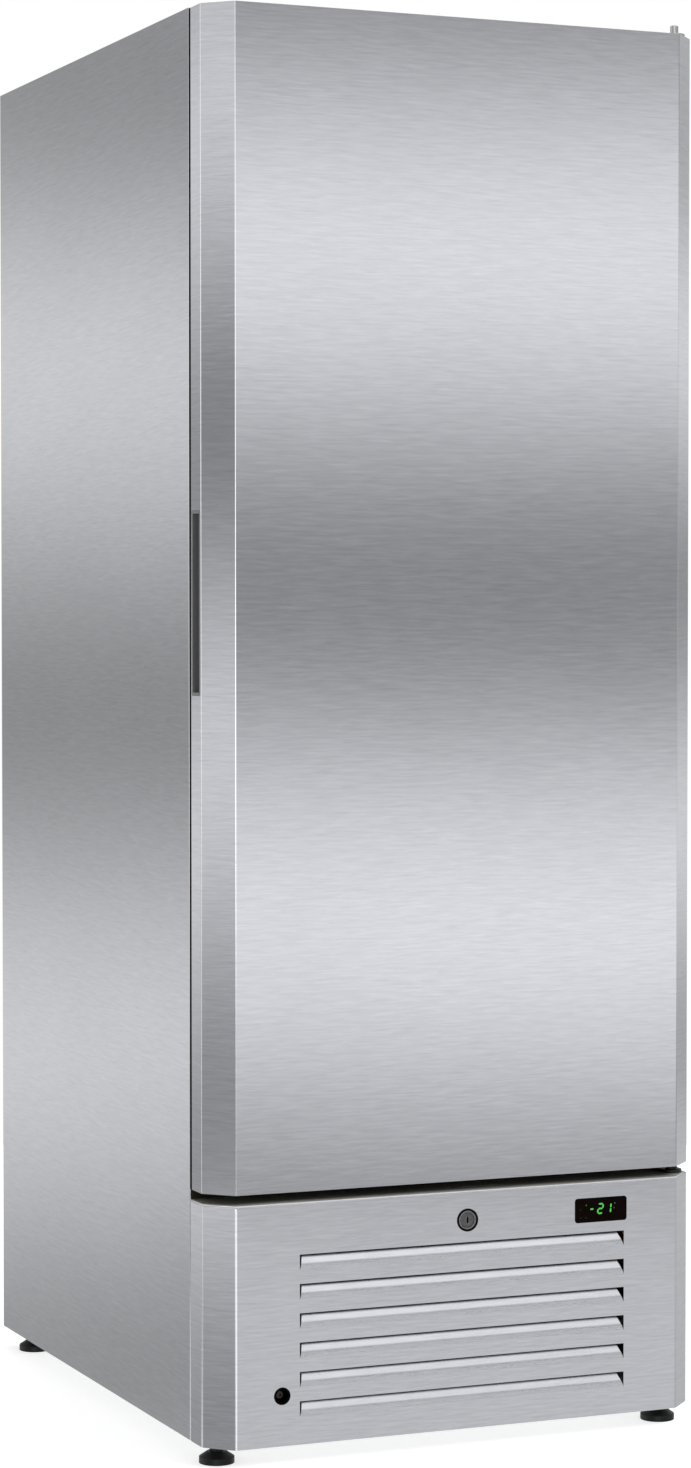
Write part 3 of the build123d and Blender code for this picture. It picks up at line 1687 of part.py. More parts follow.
start_box_low = body_low + start_box_rise
with BuildPart() as start_box:
    # Relay box clipped against the side of the pot, hollowed to its round.
    box_left = compressor_x - compressor_radius - start_box_width
    with BuildSketch(Plane.XY.offset(start_box_low)):
        add(
            rectangle_between(
                box_left,
                compressor_x - compressor_radius + start_box_lap,
                compressor_y - start_box_width,
                compressor_y + start_box_width,
            )
        )
        with Locations((compressor_x, compressor_y)):
            Circle(compressor_radius + clearance, mode=Mode.SUBTRACT)
    extrude(amount=start_box_height)
    chamfer(start_box.faces().sort_by(Axis.X)[0].edges(), length=start_box_edge)
finish(start_box, "compressor_start_box")

with BuildPart() as evaporation_tray:
    # Open moulded tray that takes the defrost water.
    for level, wall, mode in ((deck, 0.0, Mode.ADD), (deck + tray_wall, tray_wall, Mode.SUBTRACT)):
        with BuildSketch(Plane.XY.offset(level)) as tray_floor:
            with Locations((evap_tray_x, drain_y)):
                Rectangle(evap_tray_width - 2 * wall, evap_tray_depth - 2 * wall)
            chamfer(tray_floor.vertices(), length=evap_tray_corner - wall)
        extrude(amount=evap_tray_height, taper=-evap_tray_draft, mode=mode)
finish(evaporation_tray, "evaporation_tray")

elec_x = base_sheet + elec_width / 2 + elec_side_gap - skin_x
with BuildPart() as electrical_box:
    with BuildSketch(Plane.XY.offset(deck)):
        with Locations((elec_x, elec_y)):
            Rectangle(elec_width, elec_depth)
    extrude(amount=elec_height)
    box_edges = electrical_box.edges().filter_by(Axis.Z) + electrical_box.edges().group_by(Axis.Z)[-1]
    chamfer(box_edges, length=elec_edge)
finish(electrical_box, "electrical_box")

# Pipes: discharge from the compressor to the condenser, suction from the back of the box.
drier_x = condenser_left - drier_side_gap
stub_z = body_low + pipe_stub_height
side_run_x = compressor_x + compressor_radius + pipe_side_run
coil_top_z = coil_low + (condenser_passes - 1) * coil_pitch
routes = (
    # discharge: out of the pot's right side, forward, and into the top of the condenser
    [
        (compressor_x + compressor_radius - pipe_entry, compressor_y, stub_z),
        (side_run_x, compressor_y, stub_z),
        (side_run_x, condenser_y, stub_z),
        (side_run_x, condenser_y, coil_top_z),
        (condenser_right + pipe_coil_gap, condenser_y, coil_top_z),
    ],
    # liquid: from the bottom of the condenser to the drier
    [
        (condenser_left - pipe_coil_gap, condenser_y, coil_low),
        (drier_x, condenser_y, coil_low),
        (drier_x, drier_y, coil_low),
        (drier_x, drier_y, drier_low + drier_radius),
    ],
)
with BuildPart() as refrigerant_pipes:
    for points in routes:
        with BuildLine() as pipe_route:
            FilletPolyline(*points, radius=pipe_bend)
        start_direction = (Vector(*points[1]) - Vector(*points[0])).normalized()
        with BuildSketch(Plane(origin=points[0], z_dir=start_direction)):
            RegularPolygon(pipe_radius, pipe_sides)
        sweep(path=pipe_route.line)
    # The filter drier is brazed on to the liquid pipe.
    with BuildSketch(Plane(origin=(drier_x, drier_y, drier_low))):
        RegularPolygon(drier_radius, 2 * pipe_sides)
    extrude(amount=drier_length)
finish(refrigerant_pipes, "refrigerant_pipes")


# ---------------------------------------------------------------- back of the machine compartment

grille_y = cabinet_back - grille_setback
grille_low = floor_gap + base_flange + clearance
grille_high = box_floor - steel - clearance
grille_half = skin_x
gland_x = gland_from_side - half_width
gland_z = box_floor - gland_drop

with BuildPart() as rear_grille:
    # Louvred cover with a turned-back edge all round.
    with BuildSketch(front_plane(grille_y)):
        add(rectangle_between(-grille_half, grille_half, grille_low, grille_high))
        for row in range(vent_rows):
            for column in range(vent_columns):
                vent_x = (column - (vent_columns - 1) / 2) * vent_column_pitch
                vent_z = grille_low + vent_margin + row * vent_row_pitch
                with Locations((vent_x, vent_z)):
                    Rectangle(vent_width, vent_height, mode=Mode.SUBTRACT)
        with Locations((gland_x, gland_z)):
            Circle(gland_waist + clearance, mode=Mode.SUBTRACT)
    extrude(amount=grille_sheet)
    for sign in (-1, 1):
        with BuildSketch(side_plane(sign * grille_half)):
            add(rectangle_between(grille_y - grille_sheet, cabinet_back - bend, grille_low, grille_high))
        extrude(amount=-sign * grille_sheet)
finish(rear_grille, "rear_grille")

with BuildPart() as cable_gland:
    with BuildSketch(front_plane(grille_y + gland_nut_length)):
        with Locations((gland_x, gland_z)):
            RegularPolygon(gland_radius, 6)
    extrude(amount=gland_nut_length)
    with BuildSketch(front_plane(grille_y)):
        with Locations((gland_x, gland_z)):
            Circle(gland_waist)
    extrude(amount=gland_inner_length)
    with BuildSketch(front_plane(grille_y + gland_length)):
        with Locations((gland_x, gland_z)):
            Circle(gland_bore)
    extrude(amount=2 * gland_length, mode=Mode.SUBTRACT)
finish(cable_gland, "cable_gland")
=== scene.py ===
"""Upright freezer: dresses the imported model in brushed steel, plastic and rubber, and sets its stage."""

import json
from math import cos, degrees, radians, sin, tau

import bmesh
import bpy
from bpy.props import FloatProperty, FloatVectorProperty, IntProperty, PointerProperty
from mathutils import Euler, Matrix, Vector

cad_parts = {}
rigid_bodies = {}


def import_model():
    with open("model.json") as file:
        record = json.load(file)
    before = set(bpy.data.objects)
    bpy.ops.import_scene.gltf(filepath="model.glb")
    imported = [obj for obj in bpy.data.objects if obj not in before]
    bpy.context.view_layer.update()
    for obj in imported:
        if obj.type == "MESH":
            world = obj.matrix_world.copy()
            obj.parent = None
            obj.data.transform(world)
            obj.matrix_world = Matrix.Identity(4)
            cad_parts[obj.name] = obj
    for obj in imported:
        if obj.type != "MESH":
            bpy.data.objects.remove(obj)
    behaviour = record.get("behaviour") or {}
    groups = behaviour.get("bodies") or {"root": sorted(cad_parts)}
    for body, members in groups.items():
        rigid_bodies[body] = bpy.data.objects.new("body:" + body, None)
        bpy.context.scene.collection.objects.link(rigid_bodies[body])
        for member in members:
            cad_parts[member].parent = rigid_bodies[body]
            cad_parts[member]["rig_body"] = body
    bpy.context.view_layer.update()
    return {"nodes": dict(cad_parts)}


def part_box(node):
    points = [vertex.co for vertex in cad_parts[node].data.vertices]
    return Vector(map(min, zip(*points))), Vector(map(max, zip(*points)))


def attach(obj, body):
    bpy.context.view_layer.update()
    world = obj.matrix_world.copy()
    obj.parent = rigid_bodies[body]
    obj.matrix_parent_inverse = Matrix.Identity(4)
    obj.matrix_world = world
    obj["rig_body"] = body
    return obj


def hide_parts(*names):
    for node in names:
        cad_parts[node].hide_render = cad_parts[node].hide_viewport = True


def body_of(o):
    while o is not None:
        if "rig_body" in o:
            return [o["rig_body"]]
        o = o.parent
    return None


MERGE = 1e-6  # points nearer than this are one
CREASE = 32.0  # degrees, above which an edge is sharp
FINE_RELIEF = 0.0002  # height of the fine bump of a surface

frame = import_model()
nodes_of_cad = frame["nodes"]

bl_info = {
    "name": "Upright Freezer",
    "version": (1, 0, 0),
    "blender": (4, 5, 0),
    "location": "View3D > Sidebar > Freezer",
    "description": "Builds the dressed pieces of an upright freezer on its packed frame",
    "category": "Add Mesh",
}


# ------------------------------------------------------------------ settings

class FreezerStage(bpy.types.PropertyGroup):
    """Camera, lamps and floor."""

    camera_place: FloatVectorProperty(
        name="Camera Place",
        description="Where the camera stands",
        default=(-1.9052, -4.5689, 1.0751),
        subtype="TRANSLATION",
        unit="LENGTH",
    )
    camera_turn: FloatVectorProperty(
        name="Camera Turn",
        description="How the camera is turned",
        default=(radians(88.254), 0.0, radians(-22.858)),
        subtype="EULER",
    )
    focal_length: FloatProperty(
        name="Focal Length", description="Lens of the camera in millimetres", default=85.72
    )
    key_power: FloatProperty(
        name="Key Lamp",
        description="Power of the large soft lamp in front",
        default=150.0,
        unit="POWER",
    )
    rim_power: FloatProperty(
        name="Back Lamp", description="Power of the soft lamp behind", default=90.0, unit="POWER"
    )
    fill_level: FloatProperty(
        name="Fill", description="Brightness of the room as matt surfaces see it", default=0.5
    )
    room_level: FloatProperty(
        name="Room", description="Brightness of the soft boxes as steel mirrors them", default=1.0
    )
    floor_radius: FloatProperty(
        name="Floor Radius", description="Radius of the round floor", default=2.4, unit="LENGTH"
    )


class FreezerFinish(bpy.types.PropertyGroup):
    """Colours and textures of the finishes."""

    steel_colour: FloatVectorProperty(
        name="Steel", description="Colour of the stainless steel", default=(0.566, 0.572, 0.604),
        subtype="COLOR", min=0.0, max=1.0,
    )
    steel_roughness: FloatProperty(
        name="Steel Roughness", description="How far the satin steel spreads a highlight",
        default=0.135, subtype="FACTOR", min=0.0, max=1.0,
    )
    grain_length: FloatProperty(
        name="Grain Length", description="Length of the brushed lines", default=0.045, unit="LENGTH"
    )
    grain_width: FloatProperty(
        name="Grain Width", description="Width of the brushed lines", default=0.0036, unit="LENGTH"
    )
    grain_contrast: FloatProperty(
        name="Grain Contrast", description="How much the lines differ in tone", default=0.12,
        subtype="FACTOR",
    )
    plastic_colour: FloatVectorProperty(
        name="Plastic", description="Colour of the black mouldings", default=(0.012, 0.012, 0.013),
        subtype="COLOR", min=0.0, max=1.0,
    )
    digit_colour: FloatVectorProperty(
        name="Digits", description="Colour of the lit digits", default=(0.07, 0.62, 0.07),
        subtype="COLOR", min=0.0, max=1.0,
    )


class FreezerSizes(bpy.types.PropertyGroup):
    """Sizes that only the dressed pieces have."""

    fold_radius: FloatProperty(
        name="Fold Radius", description="Rounding of the folded sheet edges", default=0.0024,
        unit="LENGTH",
    )
    moulded_edge: FloatProperty(
        name="Moulded Edge", description="Rounding of moulded edges", default=0.0005, unit="LENGTH"
    )
    shelf_wires: IntProperty(
        name="Shelf Wires", description="Thin wires in one shelf", default=27, min=2
    )
    shelf_wire: FloatProperty(
        name="Shelf Wire", description="Diameter of the thin wires", default=0.0038, unit="LENGTH"
    )
    shelf_rim: FloatProperty(
        name="Shelf Rim", description="Diameter of the rim of a shelf", default=0.006, unit="LENGTH"
    )


def settings():
    """The three groups of settings of this scene."""
    scene = bpy.context.scene
    return scene.freezer_stage, scene.freezer_finish, scene.freezer_sizes


# ------------------------------------------------------------------ node helpers

def add_node(tree, kind, **values):
    """A new node with its named attributes set."""
    made = tree.nodes.new(kind)
    for key, value in values.items():
        setattr(made, key, value)
    return made


def calculate(tree, operation, first, second=None):
    """A Math node between two sockets or numbers. Returns its output."""
    made = add_node(tree, "ShaderNodeMath", operation=operation)
    for socket, value in zip(made.inputs, (first, second)):
        if value is None:
            continue
        if isinstance(value, (int, float)):
            socket.default_value = value
        else:
            tree.links.new(value, socket)
    return made.outputs[0]


def plus(tree, first, second):
    """The sum of two sockets or numbers."""
    return calculate(tree, "ADD", first, second)


def minus(tree, first, second):
    """The first less the second."""
    return calculate(tree, "SUBTRACT", first, second)


def times(tree, first, second):
    """The product of two sockets or numbers."""
    return calculate(tree, "MULTIPLY", first, second)


def share(tree, first, second):
    """The first divided by the second."""
    return calculate(tree, "DIVIDE", first, second)


def ramp(tree, source, stops, interpolation="LINEAR"):
    """A Color Ramp through the stops, each a place and a grey level or a colour."""
    made = add_node(tree, "ShaderNodeValToRGB")
    made.color_ramp.interpolation = interpolation
    elements = made.color_ramp.elements
    while len(elements) < len(stops):
        elements.new(0.5)
    for element, (place, level) in zip(elements, stops):
        element.position = place
        element.color = (level, level, level, 1.0) if isinstance(level, float) else (*level, 1.0)
    tree.links.new(source, made.inputs["Fac"])
    return made.outputs["Color"]


def start_material(name):
    """A material with its shader ready. Returns material, tree and shader."""
    material = bpy.data.materials.new(name)
    material.use_nodes = True
    tree = material.node_tree
    return material, tree, tree.nodes["Principled BSDF"]


def object_noise(tree, scale, size=1.0, detail=3.0, roughness=0.6):
    """Noise on Object coordinates, stretched by the scale. Returns its value."""
    place = add_node(tree, "ShaderNodeTexCoord")
    stretch = add_node(tree, "ShaderNodeMapping")
    stretch.inputs["Scale"].default_value = scale
    noise = add_node(tree, "ShaderNodeTexNoise")
    noise.inputs["Scale"].default_value = size
    noise.inputs["Detail"].default_value = detail
    noise.inputs["Roughness"].default_value = roughness
    tree.links.new(place.outputs["Object"], stretch.inputs["Vector"])
    tree.links.new(stretch.outputs["Vector"], noise.inputs["Vector"])
    return noise.outputs["Fac"]


def spread(tree, source, low, high):
    """Noise value spread from low to high."""
    made = add_node(tree, "ShaderNodeMapRange")
    made.inputs["From Min"].default_value = 0.25
    made.inputs["From Max"].default_value = 0.75
    made.inputs["To Min"].default_value = low
    made.inputs["To Max"].default_value = high
    tree.links.new(source, made.inputs["Value"])
    return made.outputs["Result"]


def tinted(tree, colour, factor):
    """A colour times a factor socket."""
    mix = add_node(tree, "ShaderNodeMix", data_type="RGBA", blend_type="MULTIPLY")
    mix.inputs["Factor"].default_value = 1.0
    mix.inputs["A"].default_value = (*colour, 1.0)
    grey = add_node(tree, "ShaderNodeCombineColor")
    for channel in grey.inputs:
        tree.links.new(factor, channel)
    tree.links.new(grey.outputs["Color"], mix.inputs["B"])
    return mix.outputs["Result"]


def bumped(tree, shader, height, strength, distance):
    """Drives the shader's normal by a height."""
    bump = add_node(tree, "ShaderNodeBump")
    bump.inputs["Strength"].default_value = strength
    bump.inputs["Distance"].default_value = distance
    tree.links.new(height, bump.inputs["Height"])
    tree.links.new(bump.outputs["Normal"], shader.inputs["Normal"])
    return bump


# ------------------------------------------------------------------ finishes

finishes = {}


def finish_named(name):
    """A finish by its name, made at its first use."""
    if name not in finishes:
        finishes[name] = finish_makers[name](name)
    return finishes[name]


def leaned(tree, leans, louvre_lean):
    """The shading normal tipped by leans of the front, the left bevel and the returns.

    On faces that look up, such as louvres, it is tipped down again. Returns it and how far they look up.
    """
    surface = add_node(tree, "ShaderNodeNewGeometry")
    parts = add_node(tree, "ShaderNodeSeparateXYZ")
    tree.links.new(surface.outputs["True Normal"], parts.inputs[0])
    sideways = calculate(tree, "ABSOLUTE", parts.outputs["X"])
    front, bevel, side = leans
    leftward = calculate(tree, "LESS_THAN", parts.outputs["X"], -0.5)
    off_front = times(tree, leftward, bevel - front)
    off_bevel = times(tree, calculate(tree, "GREATER_THAN", sideways, 0.9), side - bevel)
    amount = plus(tree, plus(tree, off_front, off_bevel), front)
    shaded = add_node(tree, "ShaderNodeSeparateXYZ")
    tree.links.new(surface.outputs["Normal"], shaded.inputs[0])
    upward = calculate(tree, "MAXIMUM", shaded.outputs["Z"], 0.0)
    amount = minus(tree, amount, times(tree, upward, louvre_lean))
    rise = add_node(tree, "ShaderNodeCombineXYZ")
    tree.links.new(amount, rise.inputs["Z"])
    tipped = add_node(tree, "ShaderNodeVectorMath", operation="ADD")
    tree.links.new(surface.outputs["Normal"], tipped.inputs[0])
    tree.links.new(rise.outputs[0], tipped.inputs[1])
    straight = add_node(tree, "ShaderNodeVectorMath", operation="NORMALIZE")
    tree.links.new(tipped.outputs[0], straight.inputs[0])
    return straight.outputs[0], upward


def brushed(name, across, colour=None, roughness=None, contrast=None, leans=None, louvre_lean=0.0):
    """Satin sheet steel with fine brushed lines. across marks the axes that the lines don't follow."""
    finish = settings()[1]
    colour = colour or tuple(finish.steel_colour)
    roughness = finish.steel_roughness if roughness is None else roughness
    contrast = finish.grain_contrast if contrast is None else contrast
    along = 1.0 / finish.grain_length
    thin = 1.0 / finish.grain_width
    material, tree, shader = start_material(name)
    lines = object_noise(tree, tuple(thin if axis else along for axis in across), detail=4.0)
    hairs = object_noise(
        tree, tuple(2.6 * thin if axis else 2.0 * along for axis in across), detail=2.0
    )
    drift = object_noise(tree, (3.0, 3.0, 5.0), detail=1.0)
    both = plus(
        tree, times(tree, lines, 0.6), times(tree, hairs, 0.4)
    )
    tone = times(
        tree,
        spread(tree, both, 1.0 - contrast, 1.0 + contrast),
        spread(tree, drift, 0.985, 1.015),
    )
    tree.links.new(tinted(tree, colour, tone), shader.inputs["Base Color"])
    rough = spread(tree, both, roughness - 0.004, roughness + 0.004)
    shader.inputs["Metallic"].default_value = 1.0
    bump = bumped(tree, shader, both, 0.014, FINE_RELIEF)
    if leans:
        normal, upward = leaned(tree, leans, louvre_lean)
        tree.links.new(normal, bump.inputs["Normal"])
        if louvre_lean:
            worn = calculate(tree, "MINIMUM", times(tree, upward, 3.0), 0.14)
            rough = plus(tree, rough, worn)
    tree.links.new(rough, shader.inputs["Roughness"])
    return material


def moulded(name, colour, roughness, speck=1400.0, depth=0.08, wear=0.05, gloss=0.5):
    """Moulded plastic with a fine spark-eroded texture."""
    material, tree, shader = start_material(name)
    grain = object_noise(tree, (speck, speck, speck), detail=2.0)
    smear = object_noise(tree, (24.0, 24.0, 9.0), detail=3.0)
    tone = spread(tree, smear, 1.0 - wear, 1.0 + wear)
    tree.links.new(tinted(tree, colour, tone), shader.inputs["Base Color"])
    tree.links.new(spread(tree, smear, roughness - 0.05, roughness + 0.06), shader.inputs["Roughness"])
    shader.inputs["Specular IOR Level"].default_value = gloss
    bumped(tree, shader, grain, depth, FINE_RELIEF)
    return material


def plain_metal(name, colour, roughness, fine=900.0, depth=0.05, contrast=0.06):
    """Cast, cut or plated metal with an even fine grain."""
    material, tree, shader = start_material(name)
    grain = object_noise(tree, (fine, fine, fine), detail=3.0)
    patch = object_noise(tree, (40.0, 40.0, 40.0), detail=3.0)
    tree.links.new(
        tinted(tree, colour, spread(tree, patch, 1.0 - contrast, 1.0 + contrast)), shader.inputs["Base Color"]
    )
    tree.links.new(spread(tree, patch, roughness - 0.04, roughness + 0.08), shader.inputs["Roughness"])
    shader.inputs["Metallic"].default_value = 1.0
    bumped(tree, shader, grain, depth, FINE_RELIEF)
    return material


def zinc_sheet(name):
    """Galvanised sheet with its pale spangles."""
    material, tree, shader = start_material(name)
    place = add_node(tree, "ShaderNodeTexCoord")
    cells = add_node(tree, "ShaderNodeTexVoronoi", feature="F1")
    cells.inputs["Scale"].default_value = 190.0
    tree.links.new(place.outputs["Object"], cells.inputs["Vector"])
    flake = add_node(tree, "ShaderNodeSeparateColor")
    tree.links.new(cells.outputs["Color"], flake.inputs["Color"])
    fleck = flake.outputs["Red"]
    tone = spread(tree, fleck, 0.955, 1.035)
    tree.links.new(tinted(tree, (0.60, 0.61, 0.62), tone), shader.inputs["Base Color"])
    tree.links.new(spread(tree, fleck, 0.33, 0.40), shader.inputs["Roughness"])
    shader.inputs["Metallic"].default_value = 1.0
    bumped(tree, shader, fleck, 0.04, FINE_RELIEF)
    return material


def cut_foam(name):
    """Rigid foam with fine closed cells."""
    material, tree, shader = start_material(name)
    place = add_node(tree, "ShaderNodeTexCoord")
    cells = add_node(tree, "ShaderNodeTexVoronoi", feature="F1")
    cells.inputs["Scale"].default_value = 600.0
    tree.links.new(place.outputs["Object"], cells.inputs["Vector"])
    patch = object_noise(tree, (14.0, 14.0, 14.0), detail=4.0)
    tone = spread(tree, patch, 0.86, 1.06)
    tree.links.new(tinted(tree, (0.78, 0.66, 0.38), tone), shader.inputs["Base Color"])
    shader.inputs["Roughness"].default_value = 0.92
    bumped(tree, shader, cells.outputs["Distance"], 0.5, 0.0006)
    return material


def soft_rubber(name, colour=(0.018, 0.018, 0.019), gloss=0.5):
    """Matt rubber with a faint bloom."""
    material, tree, shader = start_material(name)
    bloom = object_noise(tree, (60.0, 60.0, 60.0), detail=4.0)
    tree.links.new(tinted(tree, colour, spread(tree, bloom, 0.8, 1.35)), shader.inputs["Base Color"])
    tree.links.new(spread(tree, bloom, 0.55, 0.75), shader.inputs["Roughness"])
    shader.inputs["Specular IOR Level"].default_value = gloss
    bumped(tree, shader, object_noise(tree, (700.0, 700.0, 700.0)), 0.12, FINE_RELIEF)
    return material


def dark_window(name):
    """Smoked cover of the display."""
    material, tree, shader = start_material(name)
    smear = object_noise(tree, (90.0, 90.0, 200.0), detail=3.0)
    tone = spread(tree, smear, 0.8, 1.25)
    tree.links.new(tinted(tree, (0.0042, 0.0012, 0.0010), tone), shader.inputs["Base Color"])
    tree.links.new(spread(tree, smear, 0.10, 0.22), shader.inputs["Roughness"])
    shader.inputs["Specular IOR Level"].default_value = 0.04
    return material


def lit_digit(name, strength=0.75):
    """Lit segment of the display, a little uneven."""
    colour = tuple(settings()[1].digit_colour)
    material, tree, shader = start_material(name)
    glow = object_noise(tree, (700.0, 700.0, 700.0), detail=1.0)
    tree.links.new(tinted(tree, colour, spread(tree, glow, 0.85, 1.1)), shader.inputs["Emission Color"])
    shader.inputs["Base Color"].default_value = (*(channel * 0.3 for channel in colour), 1.0)
    shader.inputs["Roughness"].default_value = 0.4
    shader.inputs["Emission Strength"].default_value = strength
    return material


finish_makers = {
    "steel_upright": lambda name: brushed(name, (0, 0, 1)),
    "steel_door": lambda name: brushed(name, (0, 0, 1), leans=(0.0, 0.0, -0.085)),
    "steel_apron": lambda name: brushed(name, (0, 0, 1), leans=(-0.035, 0.050, 0.022), louvre_lean=0.45),
    # Matt olive ledge under the door: painted shade, a darker copy of the steel for the shaded gap.
    "ledge_painted_shade": lambda name: moulded(name, (0.45, 0.445, 0.40), 0.5, 900.0, 0.06, 0.08, 0.6),
    "steel_level": lambda name: brushed(name, (0, 1, 1)),
    "steel_liner": lambda name: brushed(name, (0, 0, 1), (0.60, 0.61, 0.62), 0.32, 0.05),
    "galvanised": zinc_sheet,
    "foam": cut_foam,
    "white_plastic": lambda name: moulded(name, (0.78, 0.785, 0.785), 0.38, depth=0.04, wear=0.012),
    "grey_plastic": lambda name: moulded(name, (0.11, 0.112, 0.115), 0.42),
    "grip_grey": lambda name: moulded(name, (0.22, 0.222, 0.225), 0.45),
    # Dark olive of the door's end caps, darkened and tinted as painted shade for the shadowed gap under the
    # door.
    "cap_olive_shade": lambda name: moulded(name, (0.045, 0.044, 0.037), 0.6, gloss=0.1),
    "black_plastic": lambda name: moulded(name, tuple(settings()[1].plastic_colour), 0.34, gloss=0.2),
    "black_rubber": soft_rubber,
    "seal_rubber": lambda name: soft_rubber(name, (0.0025, 0.0025, 0.0022), 0.03),
    # Olive-black rubber of the strip and the wiper in the gap under the door, tinted as painted shade for
    # that shaded gap.
    "gap_shade_rubber": lambda name: soft_rubber(name, (0.034, 0.028, 0.019), 0.03),
    "magnet": lambda name: soft_rubber(name, (0.05, 0.045, 0.04)),
    "zinc_steel": lambda name: plain_metal(name, (0.62, 0.62, 0.60), 0.30),
    "hinge_zinc": lambda name: plain_metal(name, (0.46, 0.46, 0.455), 0.30),
    "hinge_black": lambda name: moulded(name, (0.016, 0.016, 0.015), 0.42, 700.0, gloss=0.25),
    "black_paint": lambda name: moulded(name, (0.012, 0.012, 0.011), 0.55, 500.0, gloss=0.15),
    "frame_black": lambda name: moulded(name, (0.0016, 0.0014, 0.0013), 0.42, gloss=0.03),
    "screw_black": lambda name: plain_metal(name, (0.06, 0.05, 0.045), 0.36),
    "dull_copper": lambda name: plain_metal(name, (0.30, 0.15, 0.09), 0.38, 500.0, 0.05, 0.2),
    "lock_chrome": lambda name: plain_metal(name, (0.15, 0.15, 0.155), 0.15, 600.0),
    "display": dark_window,
    "lit_digit": lit_digit,
    "dim_mark": lambda name: lit_digit(name, 0.10),
    "black_enamel": lambda name: moulded(name, (0.010, 0.010, 0.011), 0.22, 260.0, 0.06),
    "copper": lambda name: plain_metal(name, (0.76, 0.38, 0.22), 0.26, 500.0, 0.04, 0.14),
    "fin_aluminium": lambda name: plain_metal(name, (0.78, 0.79, 0.80), 0.34, 700.0, 0.05),
    "shelf_coating": lambda name: moulded(name, (0.62, 0.63, 0.635), 0.30, 900.0, 0.05),
    "nylon": lambda name: moulded(name, (0.66, 0.65, 0.60), 0.45),
    "enclosure": lambda name: moulded(name, (0.27, 0.275, 0.28), 0.45),
}


# ------------------------------------------------------------------ piece helpers

def body_of_node(name):
    """The body that a CAD node rides on."""
    return body_of(nodes_of_cad[name])[0]


def place_piece(name, mesh, finish, body, replaces=()):
    """Links a finished mesh as a piece: finish, body and the nodes that it stands for."""
    piece = bpy.data.objects.new(name, mesh)
    bpy.context.scene.collection.objects.link(piece)
    if finish:
        mesh.materials.clear()
        mesh.materials.append(finish_named(finish))
    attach(piece, body)
    if replaces:
        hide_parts(*replaces)
    return piece


def merged_copy(node_name):
    """The mesh of a CAD node with its loose triangles joined and its flat faces made whole."""
    mesh = nodes_of_cad[node_name].data.copy()
    work = bmesh.new()
    work.from_mesh(mesh)
    bmesh.ops.remove_doubles(work, verts=work.verts, dist=MERGE)
    bmesh.ops.dissolve_limit(
        work, angle_limit=radians(1.0), verts=work.verts, edges=work.edges, use_dissolve_boundaries=False
    )
    work.to_mesh(mesh)
    work.free()
    return mesh


def smooth_faces(mesh, angle=CREASE):
    """Smooth shading with sharp edges above the angle."""
    mesh.polygons.foreach_set("use_smooth", [True] * len(mesh.polygons))
    mesh.set_sharp_from_angle(angle=radians(angle))


def weigh_folds(mesh, shortest):
    """Marks the long upright folds of a sheet for a rounding of their own."""
    weights = mesh.attributes.new("bevel_weight_edge", "FLOAT", "EDGE")
    for edge in mesh.edges:
        low, high = (mesh.vertices[v].co for v in edge.vertices)
        along = high - low
        if abs(along.z) > shortest and abs(along.z) > 0.999 * along.length:
            weights.data[edge.index].value = 1.0


def soften(piece, width, segments=3, limit="ANGLE", clamp=True):
    """Rounds the sharp edges and keeps the flat faces flat."""
    edge = piece.modifiers.new("Edge", "BEVEL")
    edge.width = width
    edge.segments = segments
    edge.limit_method = limit
    edge.angle_limit = radians(CREASE)
    edge.use_clamp_overlap = clamp
    flat = piece.modifiers.new("Flat Faces", "WEIGHTED_NORMAL")
    flat.keep_sharp = True


def closed_mesh(name, rows, capped=False):
    """A mesh from closed rows of points: joined round to the first row, or capped at both ends."""
    work = bmesh.new()
    rings = [[work.verts.new(point) for point in row] for row in rows]
    for ring, after in zip(rings, rings[1:] + ([] if capped else rings[:1])):
        for here, there in zip(range(len(ring)), list(range(1, len(ring))) + [0]):
            work.faces.new((ring[here], after[here], after[there], ring[there]))
    if capped:
        work.faces.new(rings[0])
        work.faces.new(rings[-1])
    bmesh.ops.remove_doubles(work, verts=work.verts, dist=MERGE)
    bmesh.ops.dissolve_degenerate(work, edges=work.edges, dist=MERGE)
    bmesh.ops.recalc_face_normals(work, faces=work.faces)
    mesh = bpy.data.meshes.new(name)
    work.to_mesh(mesh)
    work.free()
    return mesh


def turned(name, profile, x, z, segments=64):
    """A turned part whose axis runs to the front. The profile holds radius and depth."""
    rows = []
    for step in range(segments):
        angle = tau * step / segments
        rows.append([(x + r * cos(angle), y, z + r * sin(angle)) for r, y in profile])
    mesh = closed_mesh(name, rows)
    smooth_faces(mesh)
    return mesh


def mitred_frame(name, profile, left, right, low, high):
    """A four-sided frame with mitred corners. The profile holds the way outwards and the depth."""
    rows = [
        [(x + way * out, y, z + rise * out) for out, y in profile]
        for x, way, z, rise in (
            (left, -1, low, -1), (right, 1, low, -1), (right, 1, high, 1), (left, -1, high, 1))
    ]
    return closed_mesh(name, rows)


def flat_shapes(name, outlines, front, depth):
    """Thin plates with the given outlines of x and z, standing on the plane at front."""
    work = bmesh.new()
    for outline in outlines:
        face = work.faces.new([work.verts.new((x, front, z)) for x, z in outline])
        grown = bmesh.ops.extrude_face_region(work, geom=[face])
        moved = [part for part in grown["geom"] if isinstance(part, bmesh.types.BMVert)]
        bmesh.ops.translate(work, verts=moved, vec=(0.0, -depth, 0.0))
    bmesh.ops.recalc_face_normals(work, faces=work.faces)
    mesh = bpy.data.meshes.new(name)
    work.to_mesh(mesh)
    work.free()
    return mesh


def box_shape(name, low, high):
    """A plain box between two corners."""
    (x0, y0, z0), (x1, y1, z1) = low, high
    return closed_mesh(name, [
        [(x0, y0, z0), (x0, y1, z0), (x0, y1, z1), (x0, y0, z1)],
        [(x1, y0, z0), (x1, y1, z0), (x1, y1, z1), (x1, y0, z1)],
    ], capped=True)


